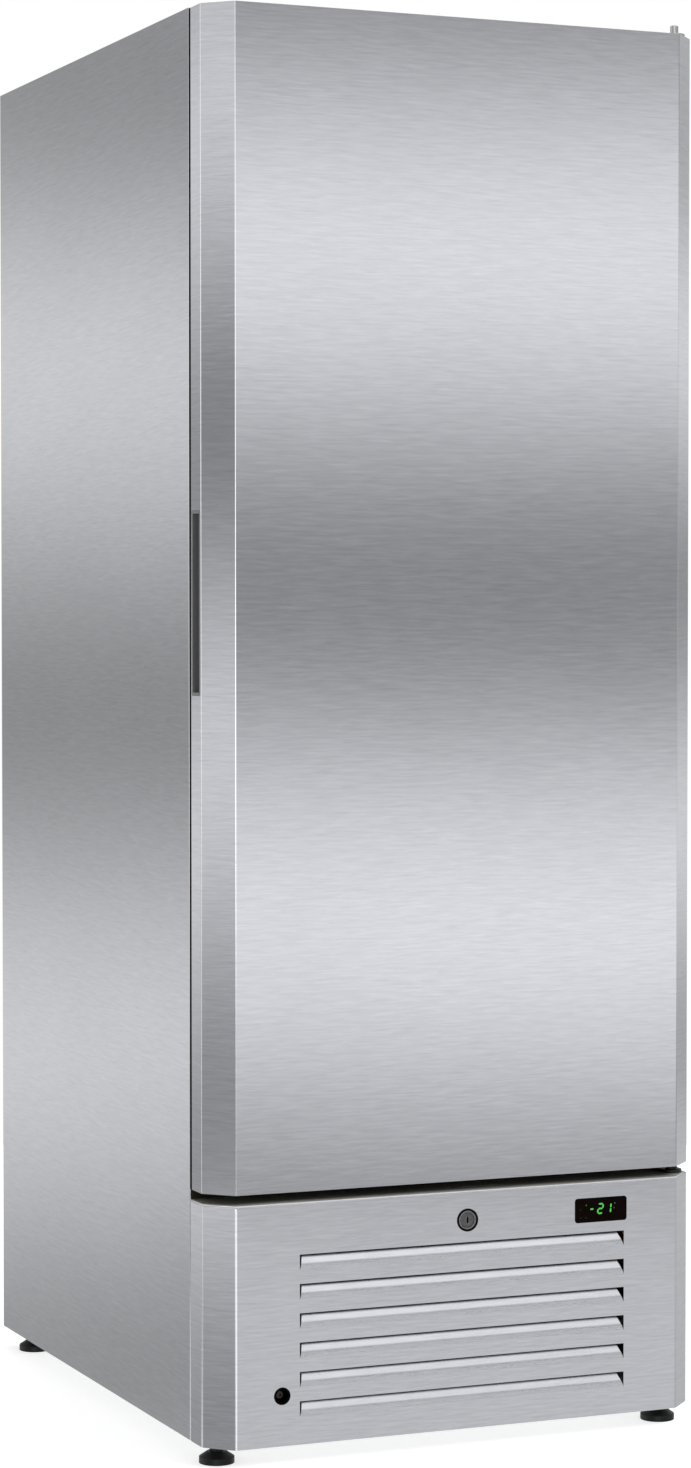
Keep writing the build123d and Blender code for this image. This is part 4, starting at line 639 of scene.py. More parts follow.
def start_tree(name, sizes):
    """A geometry tree with a named input for each size. Returns the tree and its input sockets."""
    tree = bpy.data.node_groups.new(name, "GeometryNodeTree")
    tree.interface.new_socket("Geometry", in_out="OUTPUT", socket_type="NodeSocketGeometry")
    kinds = {int: "NodeSocketInt", float: "NodeSocketFloat", bpy.types.Material: "NodeSocketMaterial"}
    for key, value in sizes.items():
        tree.interface.new_socket(key, in_out="INPUT", socket_type=kinds[type(value)])
    entry = add_node(tree, "NodeGroupInput")
    return tree, {key: entry.outputs[key] for key in sizes}


def shape(tree, kind, inputs, **values):
    """A geometry node whose inputs are links or values. Returns its first output."""
    made = add_node(tree, kind, **values)
    for key, value in inputs.items():
        for each in value if isinstance(value, list) else [value]:
            if isinstance(each, bpy.types.NodeSocket):
                tree.links.new(each, made.inputs[key])
            else:
                made.inputs[key].default_value = each
    return made.outputs[0]


def place_of(tree, x=0.0, y=0.0, z=0.0):
    """A place or size from three sockets or numbers."""
    return shape(tree, "ShaderNodeCombineXYZ", {"X": x, "Y": y, "Z": z})


def end_tree(tree, parts, material, smooth=True):
    """Joins the parts, makes their copies real, and gives them their shading and finish."""
    joined = shape(tree, "GeometryNodeJoinGeometry", {"Geometry": parts})
    real = shape(tree, "GeometryNodeRealizeInstances", {"Geometry": joined})
    shaded = shape(tree, "GeometryNodeSetShadeSmooth", {"Geometry": real, "Shade Smooth": smooth})
    finished = shape(tree, "GeometryNodeSetMaterial", {"Geometry": shaded, "Material": material})
    tree.links.new(finished, add_node(tree, "NodeGroupOutput").inputs[0])


def grown(name, tree, sizes, place, turn=(0.0, 0.0, 0.0)):
    """The plain mesh that a geometry tree makes from the sizes, turned and moved to its place."""
    carrier = bpy.data.objects.new(name, bpy.data.meshes.new(name))
    modifier = carrier.modifiers.new("Shape", "NODES")
    modifier.node_group = tree
    for item in tree.interface.items_tree:
        if item.item_type == "SOCKET" and item.in_out == "INPUT":
            modifier[item.identifier] = sizes[item.name]
    bpy.context.scene.collection.objects.link(carrier)
    ready = bpy.context.evaluated_depsgraph_get()
    mesh = bpy.data.meshes.new_from_object(carrier.evaluated_get(ready))
    carrier.modifiers.remove(modifier)
    bpy.data.objects.remove(carrier)
    mesh.transform(Matrix.Translation(place) @ Euler(turn).to_matrix().to_4x4())
    work = bmesh.new()
    work.from_mesh(mesh)
    bmesh.ops.recalc_face_normals(work, faces=work.faces)
    work.to_mesh(mesh)
    work.free()
    return mesh


def fin_stack(node_name, count, finish):
    """Thin fins that fill the place of a coarse stack."""
    low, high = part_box(node_name)
    size = high - low
    sizes = {
        "Width": size.x, "Depth": size.y, "Height": size.z, "Fins": count, "Sheet": 0.0004,
        "Finish": finish_named(finish),
    }
    tree, given = start_tree(node_name, sizes)
    span = minus(tree, given["Width"], given["Sheet"])
    step = share(tree, span, minus(tree, given["Fins"], 1.0))
    row = shape(tree, "GeometryNodeMeshLine", {
        "Count": given["Fins"],
        "Start Location": place_of(tree, times(tree, span, -0.5)),
        "Offset": place_of(tree, step),
    })
    fin = shape(tree, "GeometryNodeMeshCube", {
        "Size": place_of(tree, given["Sheet"], given["Depth"], given["Height"])})
    fins = shape(tree, "GeometryNodeInstanceOnPoints", {"Points": row, "Instance": fin})
    end_tree(tree, [fins], given["Finish"], smooth=False)
    mesh = grown(node_name + "_finished", tree, sizes, (low + high) / 2)
    return place_piece(node_name + "_finished", mesh, None, body_of_node(node_name), (node_name,))


def fan(node_name, blades=5):
    """An axial fan with twisted, cambered blades about a domed hub, its axis along Y."""
    low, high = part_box(node_name)
    tip_reach = 0.092  # from the axis up to the highest tip of the CAD blades
    middle = Vector(((low.x + high.x) / 2, (low.y + high.y) / 2, high.z - tip_reach))
    sizes = {
        "Radius": 0.0915, "Hub": 0.024, "Length": 0.0185, "Blades": blades, "Root Chord": 0.030,
        "Tip Chord": 0.060, "Root Pitch": radians(36.0), "Tip Pitch": radians(20.0), "Camber": 0.09,
        "Thickness": 0.0016, "Root Sink": 0.003, "Tip Round": 0.012,
        "Finish": finish_named("grey_plastic"),
    }
    tree, given = start_tree(node_name, sizes)

    def between(first, last, way):
        """The value a part of the way from first to last."""
        return plus(
            tree, first, times(tree, minus(tree, last, first), way)
        )

    sheet = shape(tree, "GeometryNodeMeshGrid", {
        "Size X": 1.0, "Size Y": 1.0, "Vertices X": 11, "Vertices Y": 9})
    spot = add_node(tree, "ShaderNodeSeparateXYZ")
    tree.links.new(add_node(tree, "GeometryNodeInputPosition").outputs[0], spot.inputs[0])
    chord_way = spot.outputs["X"]
    out = plus(tree, spot.outputs["Y"], 0.5)
    chord = between(given["Root Chord"], given["Tip Chord"], out)
    pitch = between(given["Root Pitch"], given["Tip Pitch"], out)
    root = minus(tree, given["Hub"], given["Root Sink"])
    corner = times(tree, calculate(tree, "POWER", out, 3.0), calculate(
        tree, "POWER", calculate(tree, "ABSOLUTE", times(tree, chord_way, 2.0)), 4.0))
    radius = minus(
        tree, between(root, given["Radius"], out), times(tree, corner, given["Tip Round"])
    )
    along = times(tree, chord_way, chord)
    bow = minus(tree, 0.25, times(tree, chord_way, chord_way))
    bow = times(
        tree, times(tree, bow, 4.0), times(tree, chord, given["Camber"])
    )
    cosine, sine = calculate(tree, "COSINE", pitch), calculate(tree, "SINE", pitch)
    across = plus(
        tree, times(tree, along, cosine), times(tree, bow, sine)
    )
    axial = minus(
        tree, times(tree, along, sine), times(tree, bow, cosine)
    )
    angle = share(tree, across, radius)
    sheet = shape(tree, "GeometryNodeSetPosition", {
        "Geometry": sheet,
        "Position": place_of(
            tree,
            times(tree, radius, calculate(tree, "SINE", angle)),
            axial,
            times(tree, radius, calculate(tree, "COSINE", angle)),
        )})
    thick = shape(tree, "GeometryNodeExtrudeMesh", {
        "Mesh": sheet, "Offset Scale": given["Thickness"], "Individual": False})
    under = shape(tree, "GeometryNodeFlipFaces", {"Mesh": sheet})
    blade = shape(tree, "GeometryNodeMergeByDistance", {
        "Geometry": shape(tree, "GeometryNodeJoinGeometry", {"Geometry": [thick, under]}),
        "Distance": 0.00001})
    turn = times(
        tree, add_node(tree, "GeometryNodeInputIndex").outputs[0],
        share(tree, tau, given["Blades"]),
    )
    ring = shape(tree, "GeometryNodeInstanceOnPoints", {
        "Points": shape(tree, "GeometryNodeMeshLine", {
            "Count": given["Blades"], "Offset": place_of(tree)}),
        "Instance": blade, "Rotation": place_of(tree, y=turn)})
    hub = shape(tree, "GeometryNodeMeshCylinder", {
        "Vertices": 48, "Radius": given["Hub"], "Depth": given["Length"]})
    hub = shape(tree, "GeometryNodeTransform", {"Geometry": hub, "Rotation": (radians(90.0), 0.0, 0.0)})
    dome = shape(tree, "GeometryNodeMeshUVSphere", {"Segments": 48, "Rings": 16, "Radius": given["Hub"]})
    dome = shape(tree, "GeometryNodeTransform", {
        "Geometry": dome, "Scale": (0.97, 0.42, 0.97)})
    end_tree(tree, [ring, hub, dome], given["Finish"])
    mesh = grown(node_name + "_finished", tree, sizes, middle)
    mesh.set_sharp_from_angle(angle=radians(40.0))
    return place_piece(
        node_name + "_finished", mesh, None, body_of_node(node_name), (node_name,)
    )


def dress(node_name, finish, slot, width=0.0):
    """Stands a smooth, softened copy of a CAD node in its place."""
    mesh = merged_copy(node_name)
    smooth_faces(mesh)
    piece = place_piece(
        node_name + "_finished", mesh, finish, body_of_node(node_name), (node_name,)
    )
    if width:
        soften(piece, width)
    return piece


def dress_all(rows):
    """Dresses nodes from rows of node, finish, slot and, where it has one, the rounding."""
    for row in rows:
        dress(*row)


def finish_nodes(names, finish):
    """Gives CAD nodes that keep their shape a finish."""
    for name in names:
        data = nodes_of_cad[name].data
        data.materials.clear()
        data.materials.append(finish_named(finish))


# ------------------------------------------------------------------ operators

class FREEZER_OT_stage(bpy.types.Operator):
    """Set up the floor, the room, the lamps and the camera"""

    bl_idname = "freezer.stage"
    bl_label = "Stage"

    def execute(self, context):
        scene = context.scene
        stage = settings()[0]
        scene.view_settings.view_transform = "Standard"
        self.room(scene, stage)
        self.floor(scene, stage)
        self.lamp(scene, "key_lamp", (2.2, -4.4, 4.3), 2.6, stage.key_power)
        self.lamp(scene, "back_lamp", (0.9, 3.6, 4.8), 2.0, stage.rim_power)
        camera = bpy.data.objects.new("camera", bpy.data.cameras.new("camera"))
        camera.location = stage.camera_place
        camera.rotation_euler = stage.camera_turn
        camera.data.lens = stage.focal_length
        camera.data.sensor_width = 36.0
        scene.collection.objects.link(camera)
        scene.camera = camera
        return {"FINISHED"}

    def lamp(self, scene, name, place, size, power):
        """A square soft lamp that looks at the middle of the object, unseen in the steel."""
        light = bpy.data.lights.new(name, "AREA")
        light.size = size
        light.energy = power
        lamp = bpy.data.objects.new(name, light)
        lamp.location = place
        aim = Vector((0.0, 0.0, 0.9)) - Vector(place)
        lamp.rotation_euler = aim.to_track_quat("-Z", "Y").to_euler()
        lamp.visible_camera = False
        lamp.visible_glossy = False
        scene.collection.objects.link(lamp)

    def floor(self, scene, stage):
        """A round pale floor that keeps the shadow and shows white to the camera."""
        work = bmesh.new()
        bmesh.ops.create_circle(work, cap_ends=True, segments=96, radius=stage.floor_radius)
        mesh = bpy.data.meshes.new("floor")
        work.to_mesh(mesh)
        work.free()
        floor = bpy.data.objects.new("floor", mesh)
        floor.visible_glossy = False
        scene.collection.objects.link(floor)
        material = bpy.data.materials.new("pale_floor")
        material.use_nodes = True
        tree = material.node_tree
        tree.nodes.clear()
        matt = add_node(tree, "ShaderNodeBsdfDiffuse")
        matt.inputs["Color"].default_value = (0.80, 0.80, 0.80, 1.0)
        glow = add_node(tree, "ShaderNodeEmission")
        ray = add_node(tree, "ShaderNodeLightPath")
        tree.links.new(
            times(tree, ray.outputs["Is Camera Ray"], 0.62), glow.inputs["Strength"]
        )
        total = add_node(tree, "ShaderNodeAddShader")
        out = add_node(tree, "ShaderNodeOutputMaterial")
        tree.links.new(matt.outputs[0], total.inputs[0])
        tree.links.new(glow.outputs[0], total.inputs[1])
        tree.links.new(total.outputs[0], out.inputs["Surface"])
        mesh.materials.append(material)

    def round_about(self, tree, turn, levels, limit):
        """A level that changes round the room, through pairs of degrees and level, up to the limit."""
        stops = [((angle + 180.0) / 360.0, 0.5 + value / limit / 2) for angle, value in levels]
        grey = ramp(tree, turn, stops)
        return times(
            tree, minus(tree, grey, 0.5), 2.0 * limit
        )

    def room(self, scene, stage):
        """The room. Glossy rays see soft boxes, matt surfaces an even fill and the camera plain white.

        The boxes are set for the view from the front left, and the steel's bands come from them.
        """
        world = bpy.data.worlds.new("studio")
        world.use_nodes = True
        tree = world.node_tree
        tree.nodes.clear()
        place = add_node(tree, "ShaderNodeTexCoord")
        split = add_node(tree, "ShaderNodeSeparateXYZ")
        tree.links.new(place.outputs["Generated"], split.inputs[0])
        height = times(
            tree, calculate(tree, "ARCSINE", split.outputs["Z"]), degrees(1.0)
        )
        turn = plus(
            tree,
            share(
                tree,
                calculate(tree, "ARCTAN2", split.outputs["Y"], split.outputs["X"]),
                tau,
            ),
            0.5,
        )
        # The boxes stand a few degrees higher or lower from side to side, and nearer or further.
        lift = self.round_about(tree, turn, (
            (-180, 1.6), (-159, 2.6), (-65, 0.0), (28, 0.2), (109, -2.0), (180, 1.6)), 5.0)
        reach = self.round_about(tree, turn, (
            (-180, 20), (-65, 20), (28, 14), (109, 20), (180, 20)), 25.0)
        level = plus(
            tree, share(tree, minus(tree, height, lift), reach), 1.0
        )
        bands = ramp(tree, times(tree, level, 0.5), [((e + 20.0) / 40.0, v) for e, v in (
            (-20.0, 0.49), (-13.5, 0.56), (-10.4, 0.06), (-4.9, 1.0), (0.6, 0.0), (6.2, 1.0),
            (11.0, 0.05), (17.0, 0.32))], "EASE")
        low = self.round_about(tree, turn, (
            (-180, 0.18), (-65, 0.13), (28, 0.38), (109, 0.38), (180, 0.18)), 1.0)
        span = self.round_about(tree, turn, (
            (-180, 1.0), (-159, 1.02), (-112, 1.3), (-65, 1.38), (-52, 1.34),
            (-36, 0.68), (28, 0.57), (109, 0.555), (180, 1.0)), 2.0)
        # Upright strips give the folds their bright lines.
        strips = self.round_about(tree, turn, (
            (-180, 0.0), (-138, 0.0), (-126, 1.9), (-100, 1.9), (-88, 0.0), (-42, 0.0), (-30, 0.35),
            (-8, 0.35), (4, 0.0), (124, 0.0), (136, 1.4), (172, 1.4), (180, 0.0)), 2.0)
        strips = times(tree, strips, ramp(
            tree, share(tree, plus(tree, height, 20.0), 40.0),
            [((e + 20.0) / 40.0, v) for e, v in (
                (-20.0, 0.35), (-12.0, 0.5), (-10.0, 0.12), (-7.0, 0.1), (-4.0, 0.6), (-1.0, 1.0),
                (3.0, 0.9), (5.0, 0.5), (8.0, 0.2), (20.0, 0.3))]))
        # A pale screen on the right lights the bevel above and below its middle.
        beside = self.round_about(tree, turn, (
            (-180, 0.0), (-12, 0.0), (14, 0.17), (44, 0.17), (70, 0.0), (180, 0.0)), 1.0)
        screen = ramp(
            tree, share(tree, plus(tree, height, 20.0), 40.0),
            [(0.0, 0.0), (0.26, 0.0), (0.29, 1.0), (0.38, 0.0), (0.60, 0.0), (0.70, 1.0), (1.0, 1.0)])
        strips = plus(tree, strips, times(tree, beside, screen))
        ceiling = ramp(tree, share(tree, height, 90.0), [
            (0.0, 0.0), (0.18, 0.0), (0.34, 0.85), (0.5, 0.45), (1.0, 0.40)], "EASE")
        forward = self.round_about(tree, turn, (
            (-180, 0.5), (-150, 0.6), (-110, 1.0), (-20, 1.0), (20, 0.5), (180, 0.5)), 1.0)
        bands = plus(tree, bands, times(tree, ceiling, forward))
        mirrored = plus(tree, low, times(tree, span, bands))
        mirrored = times(
            tree, plus(tree, mirrored, strips), stage.room_level
        )
        ray = add_node(tree, "ShaderNodeLightPath")
        glossy = ray.outputs["Is Glossy Ray"]
        matt = times(
            tree,
            minus(tree, 1.0, glossy),
            stage.fill_level,
        )
        seen = plus(tree, times(tree, mirrored, glossy), matt)
        clear = calculate(
            tree, "MAXIMUM", ray.outputs["Is Camera Ray"], ray.outputs["Is Transmission Ray"]
        )
        strength = plus(
            tree,
            times(tree, seen, minus(tree, 1.0, clear)),
            clear,
        )
        glow = add_node(tree, "ShaderNodeBackground")
        glow.inputs["Color"].default_value = (1.0, 1.0, 1.0, 1.0)
        out = add_node(tree, "ShaderNodeOutputWorld")
        tree.links.new(strength, glow.inputs["Strength"])
        tree.links.new(glow.outputs[0], out.inputs["Surface"])
        scene.world = world


class FREEZER_OT_skins(bpy.types.Operator):
    """Dress the folded outer panels of the cabinet and the door"""

    bl_idname = "freezer.skins"
    bl_label = "Outer Panels"

    def execute(self, context):
        fold = settings()[2].fold_radius
        dress_all((
            ("side_panel_left", "steel_upright", "stainless", fold / 10),
            ("side_panel_right", "steel_upright", "stainless", fold / 10),
            ("top_panel", "steel_level", "stainless", fold / 4),
            ("door_outer_skin", "steel_door", "stainless", fold / 10),
        ))
        panel = dress("lower_front_panel", "steel_apron", "stainless")
        self.shade_ledge(panel)
        weigh_folds(panel.data, 0.2)
        soften(panel, fold, limit="WEIGHT", clamp=False)
        dress("box_floor_panel", "steel_upright", "stainless", fold / 8)
        self.threshold()
        finish_nodes(("back_panel", "base_tray"), "galvanised")
        self.rivets()
        return {"FINISHED"}

    def threshold(self):
        """Thin dark strip on the cabinet behind the gap under the door: painted shade, a dark sheet put where
        the gap is only in shadow.
        """
        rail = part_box("box_floor_panel")
        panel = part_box("lower_front_panel")[1].z
        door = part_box("door_outer_skin")[0].z
        # A dark sheet on the rail that stands in for the shadow in the gap.
        strip = box_shape(
            "painted_shade_strip", (rail[0].x, rail[0].y - 0.0003, panel + 0.0003),
            (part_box("bottom_hinge")[0].x - 0.006, rail[0].y, door - 0.0003),
        )
        place_piece("painted_shade_strip", strip, "gap_shade_rubber", body_of_node("box_floor_panel"))

    def rivets(self):
        """Low rivets round the edge of the back panel."""
        low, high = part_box("back_panel")
        sizes = {
            "Width": high.x - low.x - 0.024, "Height": high.z - low.z - 0.030, "Rivets": 34,
            "Radius": 0.0032, "Rise": 0.0009, "Finish": finish_named("zinc_steel"),
        }
        tree, given = start_tree("back_rivets", sizes)
        line = shape(tree, "GeometryNodeCurvePrimitiveQuadrilateral", {
            "Width": given["Width"], "Height": given["Height"]})
        line = shape(tree, "GeometryNodeResampleCurve", {"Curve": line, "Count": given["Rivets"]})
        head = shape(tree, "GeometryNodeMeshUVSphere", {
            "Segments": 16, "Rings": 8, "Radius": given["Radius"]})
        head = shape(tree, "GeometryNodeTransform", {
            "Geometry": head,
            "Scale": place_of(tree, 1.0, 1.0, share(tree, given["Rise"], given["Radius"]))})
        heads = shape(tree, "GeometryNodeInstanceOnPoints", {"Points": line, "Instance": head})
        end_tree(tree, [heads], given["Finish"])
        place = ((low.x + high.x) / 2, high.y, (low.z + high.z) / 2)
        mesh = grown("back_rivets", tree, sizes, place, (radians(-90.0), 0.0, 0.0))
        place_piece("back_rivets", mesh, None, body_of_node("back_panel"))

    def shade_ledge(self, panel):
        """The ledge under the door gets a duller, matt olive finish than the front: painted shade for the
        ledge in the shadow of the door.
        """
        panel.data.materials.append(finish_named("ledge_painted_shade"))
        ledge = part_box("lower_front_panel")[1].z - 0.004
        for face in panel.data.polygons:
            if face.normal.z > 0.9 and face.center.z > ledge:
                face.material_index = 1


class FREEZER_OT_door_parts(bpy.types.Operator):
    """Dress the grip, the end caps, the gasket and the inner side of the door"""

    bl_idname = "freezer.door_parts"
    bl_label = "Door Parts"

    def execute(self, context):
        edge = settings()[2].moulded_edge
        dress_all((
            ("door_grip", "grip_grey", "grey_plastic", edge),
            ("door_top_cap", "cap_olive_shade", "grey_plastic", edge),
            ("door_bottom_cap", "cap_olive_shade", "grey_plastic", edge),
            ("door_inner_panel", "white_plastic", "white_plastic", 4 * edge),
        ))
        self.gasket(edge)
        finish_nodes(("gasket_magnets",), "magnet")
        finish_nodes(("door_insulation", "cabinet_insulation"), "foam")
        finish_nodes(("hinge_bushes",), "nylon")
        return {"FINISHED"}

    def gasket(self, edge):
        """Bellows with a pocket for the magnets and a lip that closes the gap round the door."""
        low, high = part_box("door_gasket")
        half = 0.010
        back = low.y
        reach = high.y - low.y
        profile = [(out / 1000.0, back + deep / 1000.0) for out, deep in (
            (-10.0, 0.0), (10.7, 0.0), (10.7, 1000.0 * reach), (9.3, 1000.0 * reach), (9.3, 1.5),
            (5.4, 1.5), (6.6, 2.6), (5.1, 3.4), (5.1, 1000.0 * reach), (-5.1, 1000.0 * reach),
            (-5.1, 3.4), (-6.6, 2.6), (-5.4, 1.5), (-10.0, 1.5))]
        mesh = mitred_frame(
            "door_gasket_finished", profile, low.x + half, high.x - half, low.z + half, high.z - half
        )
        piece = place_piece(
            "door_gasket_finished", mesh, "seal_rubber", body_of_node("door_gasket"),
            ("door_gasket",),
        )
        soften(piece, edge / 3, 2)
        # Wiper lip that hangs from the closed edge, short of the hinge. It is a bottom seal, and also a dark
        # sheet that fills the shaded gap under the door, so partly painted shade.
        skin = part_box("door_outer_skin")[0]
        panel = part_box("lower_front_panel")[1].z
        wiper = box_shape(
            "door_wiper", (skin.x + 0.0001, low.y + 0.0002, panel + 0.0015),
            (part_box("bottom_hinge")[0].x - 0.010, low.y + 0.0018, low.z + 0.0002),
        )
        piece = place_piece(
            "door_wiper", wiper, "gap_shade_rubber", body_of_node("door_gasket")
        )
        soften(piece, edge / 3, 2)


class FREEZER_OT_hardware(bpy.types.Operator):
    """Dress the hinges, screws, lock, controller and screw cup"""

    bl_idname = "freezer.hardware"
    bl_label = "Hinges and Lock"

    def execute(self, context):
        edge = settings()[2].moulded_edge
        dress_all((
            ("top_hinge", "hinge_zinc", "zinc_steel", edge),
            ("bottom_hinge", "hinge_black", "black_enamel", edge),
            ("screws", "screw_black", "zinc_steel", edge),
        ))
        self.lock(edge)
        dress("controller_housing", "frame_black", "black_plastic", edge / 2)
        dress("controller_lens", "display", "display", edge / 4)
        self.digits()
        dress("panel_screw_cup", "frame_black", "black_plastic", edge / 2)
        return {"FINISHED"}

    def lock(self, edge):
        """Round cam lock: a black ring, a rounded rim in it and the plug with its keyway."""
        low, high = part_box("lock_ring")
        x, z = (low.x + high.x) / 2, (low.z + high.z) / 2
        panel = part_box("lower_front_panel")[0].y
        ring = turned("lock_ring_finished", [(r / 1000.0, y) for r, y in (
            (9.8, high.y), (12.0, high.y), (12.0, panel), (15.0, panel), (15.0, panel - 0.0008),
            (14.4, low.y), (13.1, low.y), (12.7, low.y + 0.0004), (12.7, panel - 0.0003),
            (9.8, panel - 0.0003))], x, z)
        place_piece(
            "lock_ring_finished", ring, "frame_black", body_of_node("lock_ring"),
            ("lock_ring",),
        )
        rim = turned("lock_rim", [(r / 1000.0, panel - out / 1000.0) for r, out in (
            (9.8, 0.32), (9.8, 0.7), (10.3, 1.05), (11.0, 1.2), (11.8, 1.1), (12.4, 0.75), (12.6, 0.32))],
            x, z)
        place_piece("lock_rim", rim, "lock_chrome", body_of_node("lock_ring"))
        dress("lock_barrel", "lock_chrome", "dark_zinc", edge / 2)
        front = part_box("lock_barrel")[0].y
        ends = []
        for way in (1, -1):
            for step in range(13):
                angle = tau / 2 * step / 12
                ends.append((way * cos(angle), way * sin(angle), way))
        rows = [
            [
                (x + r * dx, front - out, z + r * dz + 0.0033 * way)
                for r, out in (
                    (0.0014, -0.0002), (0.0014, 0.0002), (0.0019, 0.00045), (0.0026, 0.0003),
                    (0.003, -0.0002))
            ]
            for dx, dz, way in ends
        ]
        keyway = closed_mesh("keyway_rim", rows)
        smooth_faces(keyway)
        place_piece("keyway_rim", keyway, "lock_chrome", body_of_node("lock_barrel"))
        dress("lock_cam", "zinc_steel", "zinc_steel", edge / 2)
        dress("lock_nut", "zinc_steel", "zinc_steel", edge / 2)

    def digits(self):
        """Lit segments of a temperature, and the small status marks beside them."""
        low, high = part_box("controller_lens")
        x, z = (low.x + high.x) / 2, (low.z + high.z) / 2 + 0.0015
        stroke = 0.0021
        half_high, half_wide = 0.0073 - stroke / 2, 0.0046 - stroke / 2

        def bar(start, end):
            """One segment with pointed ends between two places."""
            way = (Vector(end) - Vector(start)).normalized()
            side = Vector((-way.y, way.x)) * stroke / 2
            first, last = Vector(start) + way * 0.0003, Vector(end) - way * 0.0003
            lean = 0.09
            places = (
                first, first + way * stroke / 2 + side, last - way * stroke / 2 + side, last,
                last - way * stroke / 2 - side, first + way * stroke / 2 - side)
            return [(x + at.x + lean * at.y, z + at.y) for at in places]

        def dot(dx, dz, size):
            """A small square mark."""
            return [
                (x + dx + sx * size, z + dz + sz * size) for sx, sz in ((-1, -1), (1, -1), (1, 1), (-1, 1))
            ]

        two, one = -0.0011, 0.0128
        lit = [
            bar((-0.0168, 0.0), (-0.0108, 0.0)),
            bar((two - half_wide, half_high), (two + half_wide, half_high)),
            bar((two + half_wide, half_high), (two + half_wide, 0.0)),
            bar((two - half_wide, 0.0), (two + half_wide, 0.0)),
            bar((two - half_wide, -half_high), (two - half_wide, 0.0)),
            bar((two - half_wide, -half_high), (two + half_wide, -half_high)),
            bar((one + 0.0014, half_high), (one + 0.0014, 0.0)),
            bar((one + 0.0014, -half_high), (one + 0.0014, 0.0)),
        ]
        dim = [
            dot(0.0202, 0.0062, 0.0007), dot(0.0192, -0.0002, 0.0006), dot(-0.0222, 0.0056, 0.0007),
            dot(-0.0305, 0.0, 0.0003), dot(-0.0300, -0.0110, 0.0003), dot(-0.0225, -0.0112, 0.0003),
        ]
        ink = 0.00005  # how far the segments stand out of the cover
        for name, outlines, finish in (
            ("display_digits", lit, "lit_digit"), ("display_marks", dim, "dim_mark"),
        ):
            place_piece(
                name, flat_shapes(name, outlines, low.y, ink), finish,
                body_of_node("controller_lens"),
            )


class FREEZER_OT_feet(bpy.types.Operator):
    """Dress the levelling feet"""

    bl_idname = "freezer.feet"
    bl_label = "Feet"

    def execute(self, context):
        edge = settings()[2].moulded_edge
        for corner in ("front_left", "front_right", "rear_left", "rear_right"):
            dress("foot_" + corner, "black_plastic", "black_plastic", 2 * edge)
            self.thread("foot_" + corner)
        return {"FINISHED"}

    def thread(self, node):
        """The thread on the stem of a foot."""
        low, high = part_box(node)
        sizes = {
            "Radius": 0.0048, "Pitch": 0.0015, "Height": 0.034, "Ridge": 0.0005,
            "Finish": finish_named("zinc_steel"),
        }
        tree, given = start_tree("foot_thread", sizes)
        coil = shape(tree, "GeometryNodeCurveSpiral", {
            "Resolution": 20,
            "Rotations": share(tree, given["Height"], given["Pitch"]),
            "Start Radius": given["Radius"], "End Radius": given["Radius"], "Height": given["Height"]})
        ridge = shape(tree, "GeometryNodeCurvePrimitiveCircle", {"Resolution": 3, "Radius": given["Ridge"]})
        coil = shape(tree, "GeometryNodeCurveToMesh", {
            "Curve": coil, "Profile Curve": ridge, "Fill Caps": True})
        end_tree(tree, [coil], given["Finish"])
        below_top = 0.0345  # from the top of the stem down to the foot of the thread
        place = ((low.x + high.x) / 2, (low.y + high.y) / 2, high.z - below_top)
        name = node + "_thread"
        place_piece(name, grown(name, tree, sizes, place), None, body_of_node(node))


